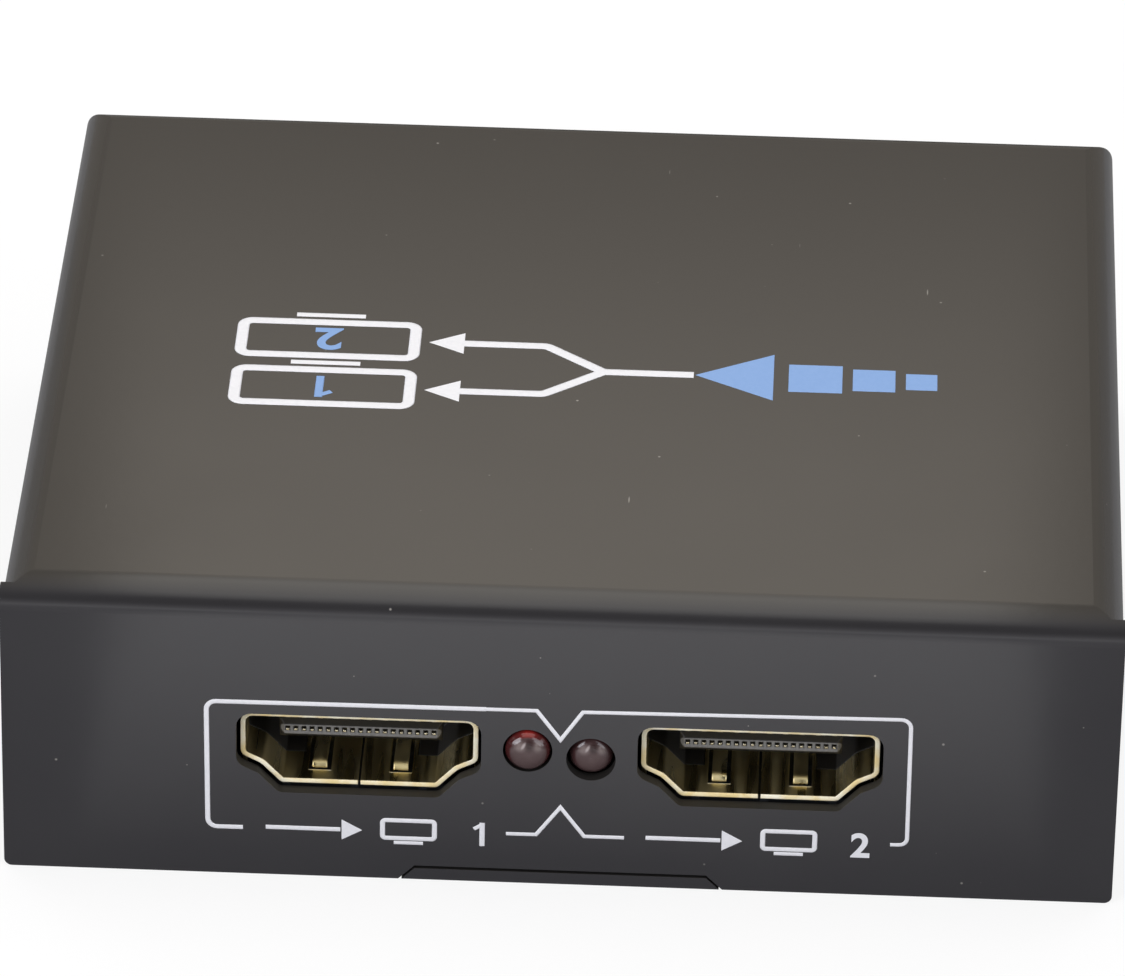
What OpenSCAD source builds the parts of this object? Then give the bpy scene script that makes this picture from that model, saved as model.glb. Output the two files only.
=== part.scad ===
// Two-way video splitter box: folded steel cover on a steel base plate,
// two output sockets and two lamps in front, one input socket and a power jack behind.
// Millimetres. Outputs face -Y, the top faces +Z, the base stands on z = 0.

/* [Case] */
// width over the front flap of the cover
case_w = 68.4; // [66:0.2:84]
// depth over the front and rear faces
case_d = 61.0; // [58:0.2:80]
// height from the table to the top face
case_h = 20.4; // [19.4:0.2:28]
// thickness of the cover and base sheet
sheet_t = 0.8; // [0.6:0.1:1]
// outer radius of the cover's folded edges
bend_r = 1.9; // [1.4:0.1:2.4]
// how far the front flap stands out past the side walls
flap_proud = 0.1; // [0.05:0.05:0.3]
// radius of the front flap's upper corners
flap_top_r = 0.6; // [0.3:0.1:0.9]
// radius of a flap's lower corners
flap_low_r = 0.5; // [0.2:0.1:0.8]
// open seam between a flap and the side wall behind it
seam_gap = 0.25; // [0.1:0.05:0.4]

/* [Base plate] */
// play between the base plate and the cover's inside
base_gap = 0.1; // [0.05:0.05:0.3]
// width of the notch in each flap, at its top
notch_w = 18.0; // [12:0.2:24]
// height of the notch
notch_h = 1.0; // [0.9:0.05:1.4]
// how far right of the middle the notch sits
notch_x = 0.18; // [-1:0.02:1]
// gap between the notch and the tongue of the base plate
notch_gap = 0.2; // [0.1:0.05:0.3]
// length of one upturned lug
lug_w = 10.0; // [7:0.5:14]
// outer radius of a lug's fold
lug_r = 1.0; // [1:0.05:1.6]
// height of the lugs
lug_h = 13.0; // [12.6:0.2:15]
// distance of the lugs from the middle of the depth
lug_y = 14.0; // [10:0.5:18]
// width of the relief slot beside a lug
lug_relief = 0.5; // [0.3:0.1:0.8]

/* [Side screws] */
// shank diameter of a side screw
side_screw_d = 2.2; // [1.8:0.1:2.6]
// head diameter of a side screw, flush with the side wall
side_screw_head_d = 4.2; // [4:0.1:5]
// length of a side screw
side_screw_len = 4.0; // [3:0.1:5]
// height of the side screws above the table
side_screw_z = 10.0; // [9.6:0.1:10.6]
// play around every screw
screw_gap = 0.2; // [0.1:0.05:0.3]
// width of the cross slot in every screw head
slot_w = 0.5; // [0.3:0.05:0.7]
// length of the cross slot
slot_len = 2.2; // [1.6:0.1:2.6]
// depth of the cross slot
slot_deep = 0.45; // [0.3:0.05:0.6]

/* [Circuit board] */
// height of the pillars under the board
pillar_h = 3.85; // [3:0.05:5]
// diameter of the pillars
pillar_d = 4.5; // [4:0.1:5.5]
// distance of the pillars from the board's left and right edges
pillar_in_x = 5.0; // [4:0.1:6]
// distance of the pillars from the board's front and rear edges
pillar_in_y = 5.0; // [4:0.1:7]
// thickness of the board
board_t = 1.6; // [1.2:0.1:2]
// play between the board and the metal around it
board_gap = 0.4; // [0.2:0.05:0.8]
// shank diameter of a board screw
board_screw_d = 2.2; // [1.8:0.1:2.6]
// head diameter of a board screw
board_screw_head_d = 4.4; // [3.8:0.1:5]
// head height of a board screw
board_screw_head_h = 1.5; // [1.2:0.1:2]
// length of a board screw under its head
board_screw_len = 4.5; // [3.5:0.1:5]

/* [Sockets] */
// distance between the middles of the two output sockets
socket_pitch = 24.6; // [23.6:0.2:26]
// sideways place of the input socket
input_x = -8.0; // [-10:0.5:-4]
// outer width of a socket shell
socket_w = 14.6; // [14.2:0.05:15]
// outer height of a socket shell
socket_h = 5.05; // [4.8:0.05:5.4]
// length of a socket shell
socket_len = 11.2; // [10:0.1:12.5]
// wall of a socket shell
shell_t = 0.3; // [0.2:0.05:0.4]
// radius of the shell's upper corners
shell_top_r = 0.75; // [0.5:0.05:1]
// radius of the shell's knees
shell_knee_r = 0.6; // [0.45:0.05:0.8]
// width of the shell's flat underside
shell_flat_w = 9.6; // [9:0.1:10.2]
// height of the knees above the flat underside
knee_h = 1.95; // [1.8:0.05:2.2]
// height of the break in the shell's sloping corner
slope_h = 1.33; // [1.1:0.01:1.5]
// width of the open fold seam under the shell
fold_gap = 0.16; // [0.1:0.02:0.3]
// gap between a shell and the opening in the cover
mouth_gap = 0.22; // [0.15:0.01:0.35]
// how much higher the opening is than the shell needs
mouth_lift = 0.15; // [0.1:0.05:0.3]
// gap between the cover's inside and the shell's rim
rim_gap = 0.05; // [0.05:0.05:0.3]
// width of a shell's solder legs
leg_w = 1.2; // [0.8:0.1:1.6]
// distance of the front legs behind the rim
leg_front = 1.6; // [1.2:0.1:2]
// distance of the rear legs behind the rim
leg_rear = 8.2; // [7.6:0.1:8.6]
// how far a leg runs up the shell's side wall
leg_up = 0.8; // [0.5:0.1:1.2]
// play around legs and leads in the board
leg_gap = 0.15; // [0.1:0.05:0.25]
// how far legs and leads come out under the board
leg_out = 1.0; // [0.6:0.1:1.4]

/* [Socket insides] */
// distance between the two spring fingers
finger_pitch = 5.0; // [4:0.1:5.6]
// width of a spring finger
finger_w = 0.9; // [0.7:0.05:1]
// thickness of a spring finger
finger_t = 0.22; // [0.15:0.01:0.25]
// width of the window a finger is cut from
window_w = 1.4; // [1.3:0.05:1.7]
// distance of the window behind the rim
window_y = 1.1; // [0.8:0.1:1.5]
// length of the window
window_len = 4.4; // [4:0.1:4.8]
// distance of a finger's tip behind the front of its window
finger_tip = 0.1; // [0.05:0.05:0.3]
// outer radius of the curl at a finger's tip
finger_curl = 0.5; // [0.4:0.05:0.6]
// length of a finger's root in the shell wall
finger_root = 0.4; // [0.3:0.05:0.6]
// length of the bend at a finger's root
finger_bend = 0.3; // [0.2:0.05:0.5]
// how far a finger stands up into the socket
finger_rise = 0.55; // [0.4:0.05:0.7]
// depth of the space for the plug
plug_deep = 6.2; // [5.8:0.1:6.6]
// width of the contact tongue
blade_w = 10.0; // [9.8:0.1:10.4]
// thickness of the contact tongue
blade_t = 1.3; // [1.1:0.05:1.4]
// height of the tongue's middle above the shell's underside
blade_z = 2.93; // [2.8:0.01:3]
// distance of the tongue's tip behind the rim
blade_back = 1.5; // [1.2:0.1:1.8]
// bevel along the tongue's tip
blade_bevel = 0.3; // [0.2:0.05:0.35]
// distance of the insulator's cheeks behind the rim
cheek_y = 3.1; // [3:0.1:3.6]
// distance of the cheeks from the middle of the socket
cheek_x = 3.45; // [3.4:0.05:4]
// height of the cheeks
cheek_h = 4.0; // [3.4:0.1:4.2]
// depth of the key that joins the cheeks to the insulator's body
cheek_key = 0.4; // [0.3:0.05:0.6]
// width of a coring pit in the tongue's tip
pit_w = 0.3; // [0.2:0.02:0.36]
// height of a coring pit
pit_h = 0.34; // [0.24:0.02:0.4]
// how far the pits sit above the tongue's middle
pit_up = 0.05; // [0:0.01:0.1]
// depth of a coring pit
pit_deep = 0.35; // [0.2:0.05:0.5]
// play between the insulator and the shell
insert_gap = 0.05; // [0.03:0.01:0.1]
// distance between neighbouring contacts
contact_pitch = 0.5; // [0.46:0.01:0.52]
// number of contacts in a socket
contact_count = 19; // [15:2:19]
// width of a contact
contact_w = 0.3; // [0.2:0.02:0.36]
// thickness of a contact
contact_t = 0.15; // [0.1:0.01:0.18]
// distance of the lower contacts' ends behind the tongue's bevel
contact_back = 0.7; // [0.3:0.05:1]
// length of a contact's solder foot
contact_foot = 1.0; // [0.8:0.1:1.2]

/* [Lamps] */
// diameter of a lamp lens
lamp_d = 2.8; // [2.4:0.05:3]
// gap between a lens and its hole in the cover
lamp_gap = 0.12; // [0.08:0.02:0.2]
// distance between the middles of the two lamps
lamp_pitch = 3.88; // [3.8:0.02:4.4]
// height of the left lamp above the board
lamp_1_up = 3.43; // [3.2:0.01:3.8]
// height of the right lamp above the board
lamp_2_up = 2.94; // [2.8:0.01:3.4]
// distance of the left lamp's tip in front of the front face
lamp_1_out = 0.5; // [0.3:0.05:0.7]
// distance of the right lamp's tip behind the front face
lamp_2_back = 0.2; // [0.1:0.05:0.5]
// length of a lens with its collar
lamp_len = 5.0; // [4.5:0.1:5.6]
// length of a lens's rounded nose
lamp_nose = 0.9; // [0.7:0.05:1.2]
// fullness of the nose, where 2 is an even half ellipse
lamp_full = 2.6; // [2:0.1:3]
// diameter of the collar
lamp_collar_d = 3.4; // [3.1:0.05:3.5]
// length of the collar
lamp_collar_len = 1.0; // [0.6:0.1:1.4]
// thickness of a lamp lead
lead_t = 0.5; // [0.4:0.05:0.6]
// distance between the two leads of a lamp
lead_pitch = 2.54; // [2.3:0.02:2.6]
// how far the leads run back before they turn down
lead_run = 1.6; // [1.2:0.1:2]

/* [Power jack] */
// distance of the jack's axis from the board's right edge
jack_in = 14.0; // [12.5:0.1:16]
// width of the jack's body
jack_w = 9.0; // [8.4:0.1:10]
// length of the jack's body
jack_len = 13.2; // [12.5:0.1:14]
// height of the jack's body
jack_h = 10.6; // [10:0.1:11.4]
// height of the bore's axis above the board
jack_axis_up = 6.4; // [6:0.1:6.6]
// diameter of the bore for the plug
jack_bore_d = 6.3; // [6:0.1:6.6]
// depth of the bore
jack_bore_deep = 10.4; // [9.5:0.1:11]
// how much wider the hole in the cover is than the bore
jack_hole_more = 0.5; // [0.2:0.1:0.8]
// diameter of the centre pin
jack_pin_d = 2.0; // [1.8:0.05:2.5]
// diameter of the pin's shank in the jack's rear wall
jack_shank_d = 1.4; // [1.2:0.05:1.6]
// distance of the pin's tip behind the jack's mouth
jack_pin_back = 1.4; // [1:0.1:2]
// distance of the jack spring's front end behind the mouth
spring_front = 2.4; // [2.2:0.1:2.8]
// length of the jack spring
spring_len = 6.6; // [5.8:0.1:7]
// how far the jack spring bows up into the bore
spring_rise = 0.4; // [0.2:0.05:0.5]
// width of the jack's terminals
terminal_w = 2.4; // [2:0.1:2.8]
// thickness of the jack's terminals
terminal_t = 0.4; // [0.3:0.05:0.5]

/* [Parts on the board] */
// side of the splitter chip
chip_w = 12.0; // [10:0.5:14]
// thickness of the splitter chip
chip_t = 1.4; // [1:0.1:1.6]
// front to back place of the splitter chip
chip_y = -2.0; // [-3:0.5:1]
// leads along each side of the splitter chip
chip_leads = 14; // [10:2:16]
// distance between the leads of the splitter chip
chip_pitch = 0.65; // [0.6:0.05:0.7]
// sideways place of the memory chip
memory_x = -19.0; // [-22:0.5:-16]
// length of the memory chip
memory_len = 4.9; // [4.6:0.1:5.2]
// width of the memory chip
memory_w = 3.9; // [3.6:0.1:4.2]
// thickness of the memory chip
memory_t = 1.4; // [1.2:0.1:1.6]
// leads along each side of the memory chip
memory_leads = 4; // [2:1:4]
// distance between the leads of the memory chip
memory_pitch = 1.27; // [1.1:0.01:1.3]
// sideways place of the voltage regulator
regulator_x = 16.0; // [14:0.5:17]
// length of the voltage regulator
regulator_len = 6.5; // [6:0.1:7]
// width of the voltage regulator
regulator_w = 3.5; // [3.2:0.1:3.8]
// thickness of the voltage regulator
regulator_t = 1.6; // [1.4:0.1:1.8]
// leads along the front of the voltage regulator
regulator_leads_n = 3; // [2:1:3]
// distance between the leads of the voltage regulator
regulator_pitch = 2.3; // [2:0.1:2.4]
// width of the voltage regulator's heat tab
regulator_tab_w = 3.0; // [2.6:0.1:3.4]
// reach of a chip lead from the body to its toe
foot_reach = 1.0; // [0.8:0.1:1.2]
// width of a chip lead
foot_w = 0.3; // [0.22:0.02:0.36]
// thickness of a chip lead
foot_t = 0.15; // [0.1:0.01:0.2]
// gap between the board and the underside of a chip
chip_lift = 0.1; // [0.05:0.05:0.2]
// sideways place of the quartz can
crystal_x = -16.0; // [-18:0.5:-14]
// front to back place of the quartz can
crystal_y = 6.0; // [5:0.5:9]
// length of the quartz can
crystal_len = 10.6; // [10:0.1:11.4]
// width of the quartz can
crystal_w = 4.0; // [3.6:0.1:4.6]
// height of the quartz can
crystal_h = 3.6; // [3:0.1:4]
// distance of the two large capacitors from the board's right edge
can_in = 7.0; // [5:0.1:8]
// distance between the two large capacitors
can_pitch = 7.4; // [6.2:0.2:9]
// diameter of the two large capacitors
can_d = 5.0; // [4:0.1:5.2]
// height of the two large capacitors
can_h = 5.4; // [4.6:0.1:7]
// side of a large capacitor's plastic foot
can_foot_w = 5.3; // [5.2:0.1:5.8]
// thickness of that foot
can_foot_t = 0.8; // [0.6:0.1:1]
// length of the small capacitors and resistors
small_len = 1.6; // [1.4:0.1:1.8]
// width of the small capacitors and resistors
small_w = 0.8; // [0.6:0.05:0.9]
// height of the small capacitors
small_cap_h = 0.8; // [0.6:0.05:0.9]
// height of the small resistors
small_res_h = 0.45; // [0.35:0.05:0.55]
// distance between neighbouring small capacitors
small_cap_pitch = 4.0; // [3:0.2:5]
// distance of the small capacitors from the toes of the chip
small_cap_out = 1.1; // [0.6:0.1:2]
// distance between neighbouring small resistors
small_res_pitch = 2.0; // [1.4:0.1:2.4]
// distance of the small resistors behind the output sockets
small_res_back = 1.5; // [1:0.1:2.5]
// sideways place of the input diode
diode_x = 16.0; // [14:0.5:19]
// front to back place of the input diode
diode_y = 6.0; // [4:0.5:9]
// length of the input diode
diode_len = 4.3; // [4:0.1:4.6]
// width of the input diode
diode_w = 2.6; // [2.4:0.1:2.8]
// height of the input diode
diode_h = 2.2; // [2:0.1:2.4]

/* [Hidden] */
$fn = 64;
eps = 0.01;
inside_r = max(bend_r - sheet_t, 0.1);
lug_inside_r = max(lug_r - sheet_t, 0.1);
wall_w = case_w - 2 * flap_proud;
face_y = case_d / 2;
inner_x = wall_w / 2 - sheet_t;
inner_y = face_y - sheet_t;
inner_z = case_h - sheet_t;
base_x = inner_x - base_gap;
base_y = inner_y - base_gap;
lug_cut = lug_w + 2 * lug_relief;
board_under = sheet_t + pillar_h;
board_z = board_under + board_t;
board_x = base_x - sheet_t - board_gap;
board_y = inner_y - board_gap;
pillar_x = board_x - pillar_in_x;
pillar_y = board_y - pillar_in_y;
jack_x = board_x - jack_in;
can_x = board_x - can_in;
rim_y = inner_y - rim_gap;
mouth_z = board_z;
slope_x = (socket_w + shell_flat_w) / 4;
lamp_x = lamp_pitch / 2;
lamp_1_z = board_z + lamp_1_up;
lamp_2_z = board_z + lamp_2_up;
jack_z = board_z + jack_axis_up;
finger_low = (shell_t - finger_t) / 2;
finger_high = shell_t + finger_rise;
bore_low = jack_axis_up - jack_bore_d / 2;
resistor_y = socket_len + contact_foot + small_res_back + small_len / 2 - rim_y;
capacitor_x = chip_w / 2 + foot_reach + small_cap_out + small_w / 2;
blade_low = blade_z - blade_t / 2;
blade_high = blade_z + blade_t / 2;

// outline helpers

// outward normal of the edge from a to b of an outline that runs anticlockwise
function edge_out(a, b) = [b[1] - a[1], a[0] - b[0]] / norm(b - a);

// corner b moved outward by d, between its neighbours a and c
function moved(a, b, c, d) =
    let (m = edge_out(a, b), n = edge_out(b, c))
    b + (m + n) * d / (1 + m * n);

function grown(p, d) =
    [for (i = [0:len(p) - 1])
        moved(p[(i + len(p) - 1) % len(p)], p[i], p[(i + 1) % len(p)], d)];

// points of a round of radius r on corner b
function round_points(a, b, c, r, steps) =
    let (
        u = (a - b) / norm(a - b),
        v = (c - b) / norm(c - b),
        half = acos(u * v) / 2,
        mid = (u + v) / norm(u + v),
        centre = b + mid * r / sin(half),
        p = b + u * r / tan(half),
        q = b + v * r / tan(half),
        from = atan2(p[1] - centre[1], p[0] - centre[0]),
        to = atan2(q[1] - centre[1], q[0] - centre[0]),
        turn = to - from > 180 ? to - from - 360 : (to - from < -180 ? to - from + 360 : to - from)
    )
    [for (s = [0:steps]) centre + r * [cos(from + turn * s / steps), sin(from + turn * s / steps)]];

function rounded(p, r, steps) =
    [for (i = [0:len(p) - 1])
        each round_points(p[(i + len(p) - 1) % len(p)], p[i], p[(i + 1) % len(p)], r[i], steps)];

// corners of a socket shell's outside, underside on the axis
shell_corners = [
    [-shell_flat_w / 2, 0],
    [shell_flat_w / 2, 0],
    [slope_x, slope_h],
    [socket_w / 2, knee_h],
    [socket_w / 2, socket_h],
    [-socket_w / 2, socket_h],
    [-socket_w / 2, knee_h],
    [-slope_x, slope_h]
];

// radii of those corners when the outline has moved outward by d
function shell_radii(d) =
    let (foot = shell_knee_r - 0.2 + d, hollow = shell_knee_r + 0.2 - d, knee = shell_knee_r + d,
         top = shell_top_r + d)
    [foot, foot, hollow, knee, top, top, knee, hollow];

module shell_outline(d) {
    polygon(rounded(grown(shell_corners, d), shell_radii(d), 5));
}

// plate with rounded upper corners, standing on the axis
module arch(w, h, r) {
    translate([-w / 2, 0])
        square([w, h - r]);
    translate([r - w / 2, 0])
        square([w - 2 * r, h]);
    for (s = [-1, 1])
        translate([s * (w / 2 - r), h - r])
            circle(r);
}

// stands a drawing up in the x-z plane and draws it out from y to y + d
module upright(y, d) {
    translate([0, y + d, 0])
        rotate([90, 0, 0])
            linear_extrude(d)
                children();
}

// stands a y-z drawing up and draws it out sideways by w, centred on x
module sideways(x, w) {
    translate([x - w / 2, 0, 0])
        rotate([90, 0, 90])
            linear_extrude(w)
                children();
}

// box centred on x and y, standing on z
module block(x, y, z, size) {
    translate([x - size[0] / 2, y - size[1] / 2, z])
        cube(size);
}

// two slots crossing in a screw head whose face is at z = 0
module cross_slot() {
    for (a = [0, 90])
        rotate([0, 0, a])
            translate([-slot_len / 2, -slot_w / 2, -slot_deep])
                cube([slot_len, slot_w, slot_deep + 1]);
}

// cover

module notch_cut(grow_by) {
    polygon([
        [notch_x - notch_w / 2 - notch_h - 1 - grow_by, -1],
        [notch_x + notch_w / 2 + notch_h + 1 + grow_by, -1],
        [notch_x + notch_w / 2 + grow_by, notch_h],
        [notch_x - notch_w / 2 - grow_by, notch_h]
    ]);
}

// face of a flap of width w with upper corners of radius r
module flap_face(w, r) {
    intersection() {
        arch(w, case_h, r);
        translate([0, case_h])
            mirror([0, 1])
                arch(w, case_h, flap_low_r);
    }
}

module cover_outside() {
    intersection() {
        union() {
            upright(-face_y + sheet_t, case_d - 2 * sheet_t)
                arch(wall_w, case_h, bend_r);
            upright(-face_y, sheet_t)
                flap_face(case_w, flap_top_r);
            upright(inner_y, sheet_t)
                flap_face(wall_w, bend_r);
        }
        sideways(0, case_w)
            arch(case_d, case_h, bend_r);
    }
}

module cover_inside() {
    intersection() {
        translate([0, 0, -1])
            upright(-inner_y, 2 * inner_y)
                arch(2 * inner_x, inner_z + 1, inside_r);
        translate([0, 0, -1])
            sideways(0, case_w)
                arch(2 * inner_y, inner_z + 1, inside_r);
    }
}

module mouth_cut() {
    translate([0, mouth_z, 0])
        union() {
            shell_outline(mouth_gap);
            translate([0, mouth_lift])
                shell_outline(mouth_gap);
        }
}

module side_screw_places() {
    for (sx = [-1, 1], sy = [-1, 1])
        translate([sx * wall_w / 2, sy * lug_y, side_screw_z])
            rotate([0, sx * 90, 0])
                children();
}

module top_cover() {
    color("#3c3b3c")
    difference() {
        cover_outside();
        cover_inside();
        for (sx = [-1, 1], sy = [-1, 1])
            block(sx * (wall_w / 2), sy * (inner_y - seam_gap / 2), -1,
                  [2 * sheet_t + eps, seam_gap, case_h - bend_r + 1]);
        for (s = [0, 1])
            mirror([0, s, 0])
                upright(-face_y - 1, sheet_t + 2)
                    notch_cut(0);
        for (s = [-1, 1])
            translate([s * socket_pitch / 2, 0, 0])
                upright(-face_y - 1, sheet_t + 1.5)
                    mouth_cut();
        translate([input_x, 0, 0])
            upright(inner_y - 0.5, sheet_t + 1.5)
                mouth_cut();
        upright(-face_y - 1, sheet_t + 1.5)
            translate([-lamp_x, lamp_1_z])
                circle(lamp_d / 2 + lamp_gap);
        upright(-face_y - 1, sheet_t + 1.5)
            translate([lamp_x, lamp_2_z])
                circle(lamp_d / 2 + lamp_gap);
        upright(inner_y - 0.5, sheet_t + 1.5)
            translate([jack_x, jack_z])
                circle((jack_bore_d + jack_hole_more) / 2);
        side_screw_places()
            translate([0, 0, -sheet_t - eps])
                cylinder(h = sheet_t + 2 * eps, d1 = side_screw_head_d - 2 * sheet_t + 2 * screw_gap,
                         d2 = side_screw_head_d + 2 * screw_gap);
    }
}

// base plate

module base_tongue() {
    intersection() {
        polygon([
            [notch_x - notch_w / 2 - notch_h + notch_gap, 0],
            [notch_x + notch_w / 2 + notch_h - notch_gap, 0],
            [notch_x + notch_w / 2 - notch_gap, notch_h],
            [notch_x - notch_w / 2 + notch_gap, notch_h]
        ]);
        translate([-case_w / 2, 0])
            square([case_w, min(sheet_t, notch_h - notch_gap)]);
    }
}

// x-z section of one lug with its fold, on the right
module lug_section() {
    difference() {
        union() {
            translate([base_x - lug_r - sheet_t, 0])
                square([sheet_t, sheet_t]);
            translate([base_x - lug_r, lug_r])
                circle(lug_r);
            translate([base_x - sheet_t, lug_r])
                square([sheet_t, lug_h - lug_r]);
        }
        translate([base_x - lug_r, lug_r])
            circle(lug_inside_r);
        translate([base_x - 2 * lug_r - eps, lug_r])
            square([2 * lug_r - sheet_t + eps, lug_r + eps]);
        translate([base_x - 2 * lug_r - eps, sheet_t])
            square([lug_r + eps, lug_r]);
    }
}

module base_plate() {
    color("#333234")
    union() {
        difference() {
            translate([-base_x, -base_y, 0])
                cube([2 * base_x, 2 * base_y, sheet_t]);
            for (sx = [-1, 1], sy = [-1, 1])
                block(sx * base_x, sy * lug_y, -1, [2 * lug_r, lug_cut, sheet_t + 2]);
        }
        for (s = [0, 1])
            mirror([0, s, 0])
                upright(-face_y, sheet_t + base_gap + eps)
                    base_tongue();
        for (sx = [0, 1], sy = [-1, 1])
            mirror([sx, 0, 0])
                difference() {
                    upright(sy * lug_y - lug_w / 2, lug_w)
                        lug_section();
                    translate([base_x - sheet_t - 1, sy * lug_y, side_screw_z])
                        rotate([0, 90, 0])
                            cylinder(h = sheet_t + 2, d = side_screw_d + 2 * screw_gap);
                }
    }
}

module side_screws() {
    color("#2c2b2d")
    side_screw_places()
        difference() {
            union() {
                translate([0, 0, -sheet_t])
                    cylinder(h = sheet_t, d1 = side_screw_head_d - 2 * sheet_t, d2 = side_screw_head_d);
                translate([0, 0, -side_screw_len])
                    cylinder(h = side_screw_len - sheet_t + eps, d = side_screw_d);
            }
            cross_slot();
        }
}

// board and its fixings

module pillar_places(z) {
    for (sx = [-1, 1], sy = [-1, 1])
        translate([sx * pillar_x, sy * pillar_y, z])
            children();
}

module board_pillars() {
    color("#b9a46a")
    pillar_places(sheet_t)
        difference() {
            cylinder(h = pillar_h, d = pillar_d);
            translate([0, 0, -1])
                cylinder(h = pillar_h + 2, d = board_screw_d + 2 * screw_gap);
        }
}

module board_screws() {
    color("#b8b8bc")
    pillar_places(board_z)
        difference() {
            union() {
                cylinder(h = board_screw_head_h, d = board_screw_head_d);
                translate([0, 0, -board_screw_len])
                    cylinder(h = board_screw_len + eps, d = board_screw_d);
            }
            translate([0, 0, board_screw_head_h])
                cross_slot();
        }
}

// places children for a socket: rim on y = 0, mouth toward -Y, underside on z = 0
module output_place(s) {
    translate([s * socket_pitch / 2, -rim_y, board_z])
        children();
}

module input_place() {
    translate([input_x, rim_y, board_z])
        rotate([0, 0, 180])
            children();
}

module jack_place() {
    translate([jack_x, rim_y, board_z])
        rotate([0, 0, 180])
            children();
}

module leg_holes() {
    for (sx = [-1, 1], y = [leg_front, leg_rear])
        translate([sx * (socket_w / 2 - shell_t / 2) - shell_t / 2 - leg_gap, y - leg_gap, -board_t - 1])
            cube([shell_t + 2 * leg_gap, leg_w + 2 * leg_gap, board_t + 2]);
}

module lead_holes(x, back) {
    for (s = [-1, 1])
        translate([x + s * lead_pitch / 2, back + lamp_len + lead_run - lead_t / 2 - face_y, board_under - 1])
            cylinder(h = board_t + 2, d = lead_t * sqrt(2) + 2 * leg_gap);
}

module jack_holes() {
    translate([-terminal_w / 2 - leg_gap, jack_len - leg_gap, -board_t - 1])
        cube([terminal_w + 2 * leg_gap, terminal_t + 2 * leg_gap, board_t + 2]);
    translate([-terminal_w / 2 - leg_gap, spring_front + spring_len / 2 - leg_gap, -board_t - 1])
        cube([terminal_w + 2 * leg_gap, terminal_t + 2 * leg_gap, board_t + 2]);
}

module circuit_board() {
    color("#1c1d1f")
    difference() {
        translate([-board_x, -board_y, board_under])
            cube([2 * board_x, 2 * board_y, board_t]);
        pillar_places(board_under - 1)
            cylinder(h = board_t + 2, d = board_screw_d + 2 * screw_gap);
        for (s = [-1, 1])
            output_place(s)
                leg_holes();
        input_place()
            leg_holes();
        lead_holes(-lamp_x, -lamp_1_out);
        lead_holes(lamp_x, lamp_2_back);
        jack_place()
            jack_holes();
    }
}

// sockets

// y-z section of a spring finger, from its root in the wall to its curled tip
module finger_section() {
    curl = [window_y + finger_tip + finger_curl, finger_high - finger_curl];
    bend = window_y + window_len - finger_bend;
    root = window_y + window_len + finger_root;
    polygon([
        [root, finger_low],
        [root, finger_low + finger_t],
        [bend, finger_low + finger_t],
        for (a = [90:15:180]) curl + finger_curl * [cos(a), sin(a)],
        for (a = [180:-15:90]) curl + (finger_curl - finger_t) * [cos(a), sin(a)],
        [bend, finger_low]
    ]);
}

// room for the insulator's cheeks on both sides of a socket, less a margin all round
module cheek_room(less) {
    for (s = [0, 1])
        mirror([s, 0, 0])
            translate([cheek_x + less, cheek_y + less, -1])
                cube([socket_w, plug_deep + cheek_key - cheek_y - 2 * less, 1 + cheek_h - less]);
}

module shell_ring() {
    difference() {
        shell_outline(0);
        shell_outline(-shell_t);
    }
}

module socket_shell() {
    color("#c9a94e")
    union() {
        difference() {
            upright(0, socket_len)
                shell_ring();
            cheek_room(0);
            translate([-fold_gap / 2, -1, -1])
                cube([fold_gap, socket_len + 2, 1 + shell_t + eps]);
            for (s = [-1, 1])
                translate([s * finger_pitch / 2 - window_w / 2, window_y, -1])
                    cube([window_w, window_len, 1 + shell_t + eps]);
        }
        for (s = [-1, 1])
            sideways(s * finger_pitch / 2, finger_w)
                finger_section();
        for (sx = [-1, 1], y = [leg_front, leg_rear])
            translate([sx * (socket_w / 2 - shell_t / 2) - shell_t / 2, y, -board_t - leg_out])
                cube([shell_t, leg_w, board_t + leg_out + knee_h + leg_up]);
    }
}

// contact tongue, bevelled along the tip and at its two corners
module socket_blade() {
    intersection() {
        sideways(0, blade_w)
            polygon([
                [blade_back, blade_low + blade_bevel],
                [blade_back + blade_bevel, blade_low],
                [plug_deep + eps, blade_low],
                [plug_deep + eps, blade_high],
                [blade_back + blade_bevel, blade_high],
                [blade_back, blade_high - blade_bevel]
            ]);
        linear_extrude(socket_h)
            polygon([
                [blade_bevel - blade_w / 2, blade_back],
                [blade_w / 2 - blade_bevel, blade_back],
                [blade_w / 2, blade_back + blade_bevel],
                [blade_w / 2, socket_len],
                [-blade_w / 2, socket_len],
                [-blade_w / 2, blade_back + blade_bevel]
            ]);
    }
}

module socket_insulator() {
    color("#2a2a2c")
    difference() {
        union() {
            upright(plug_deep, socket_len - plug_deep - contact_t - insert_gap)
                shell_outline(-shell_t - insert_gap);
            socket_blade();
            intersection() {
                cheek_room(insert_gap);
                union() {
                    upright(cheek_y, plug_deep - cheek_y + eps)
                        shell_ring();
                    upright(plug_deep, cheek_key)
                        shell_outline(0);
                }
            }
        }
        for (i = [0:contact_count - 1])
            block(contact_x(i), blade_back, blade_z + pit_up - pit_h / 2, [pit_w, 2 * pit_deep, pit_h]);
        for (z = [blade_low - contact_t - insert_gap, blade_high])
            translate([-blade_w / 2, plug_deep - eps, z])
                cube([blade_w, socket_len, contact_t + insert_gap]);
    }
}

// sideways place of contact i
function contact_x(i) = (i - (contact_count - 1) / 2) * contact_pitch;

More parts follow.
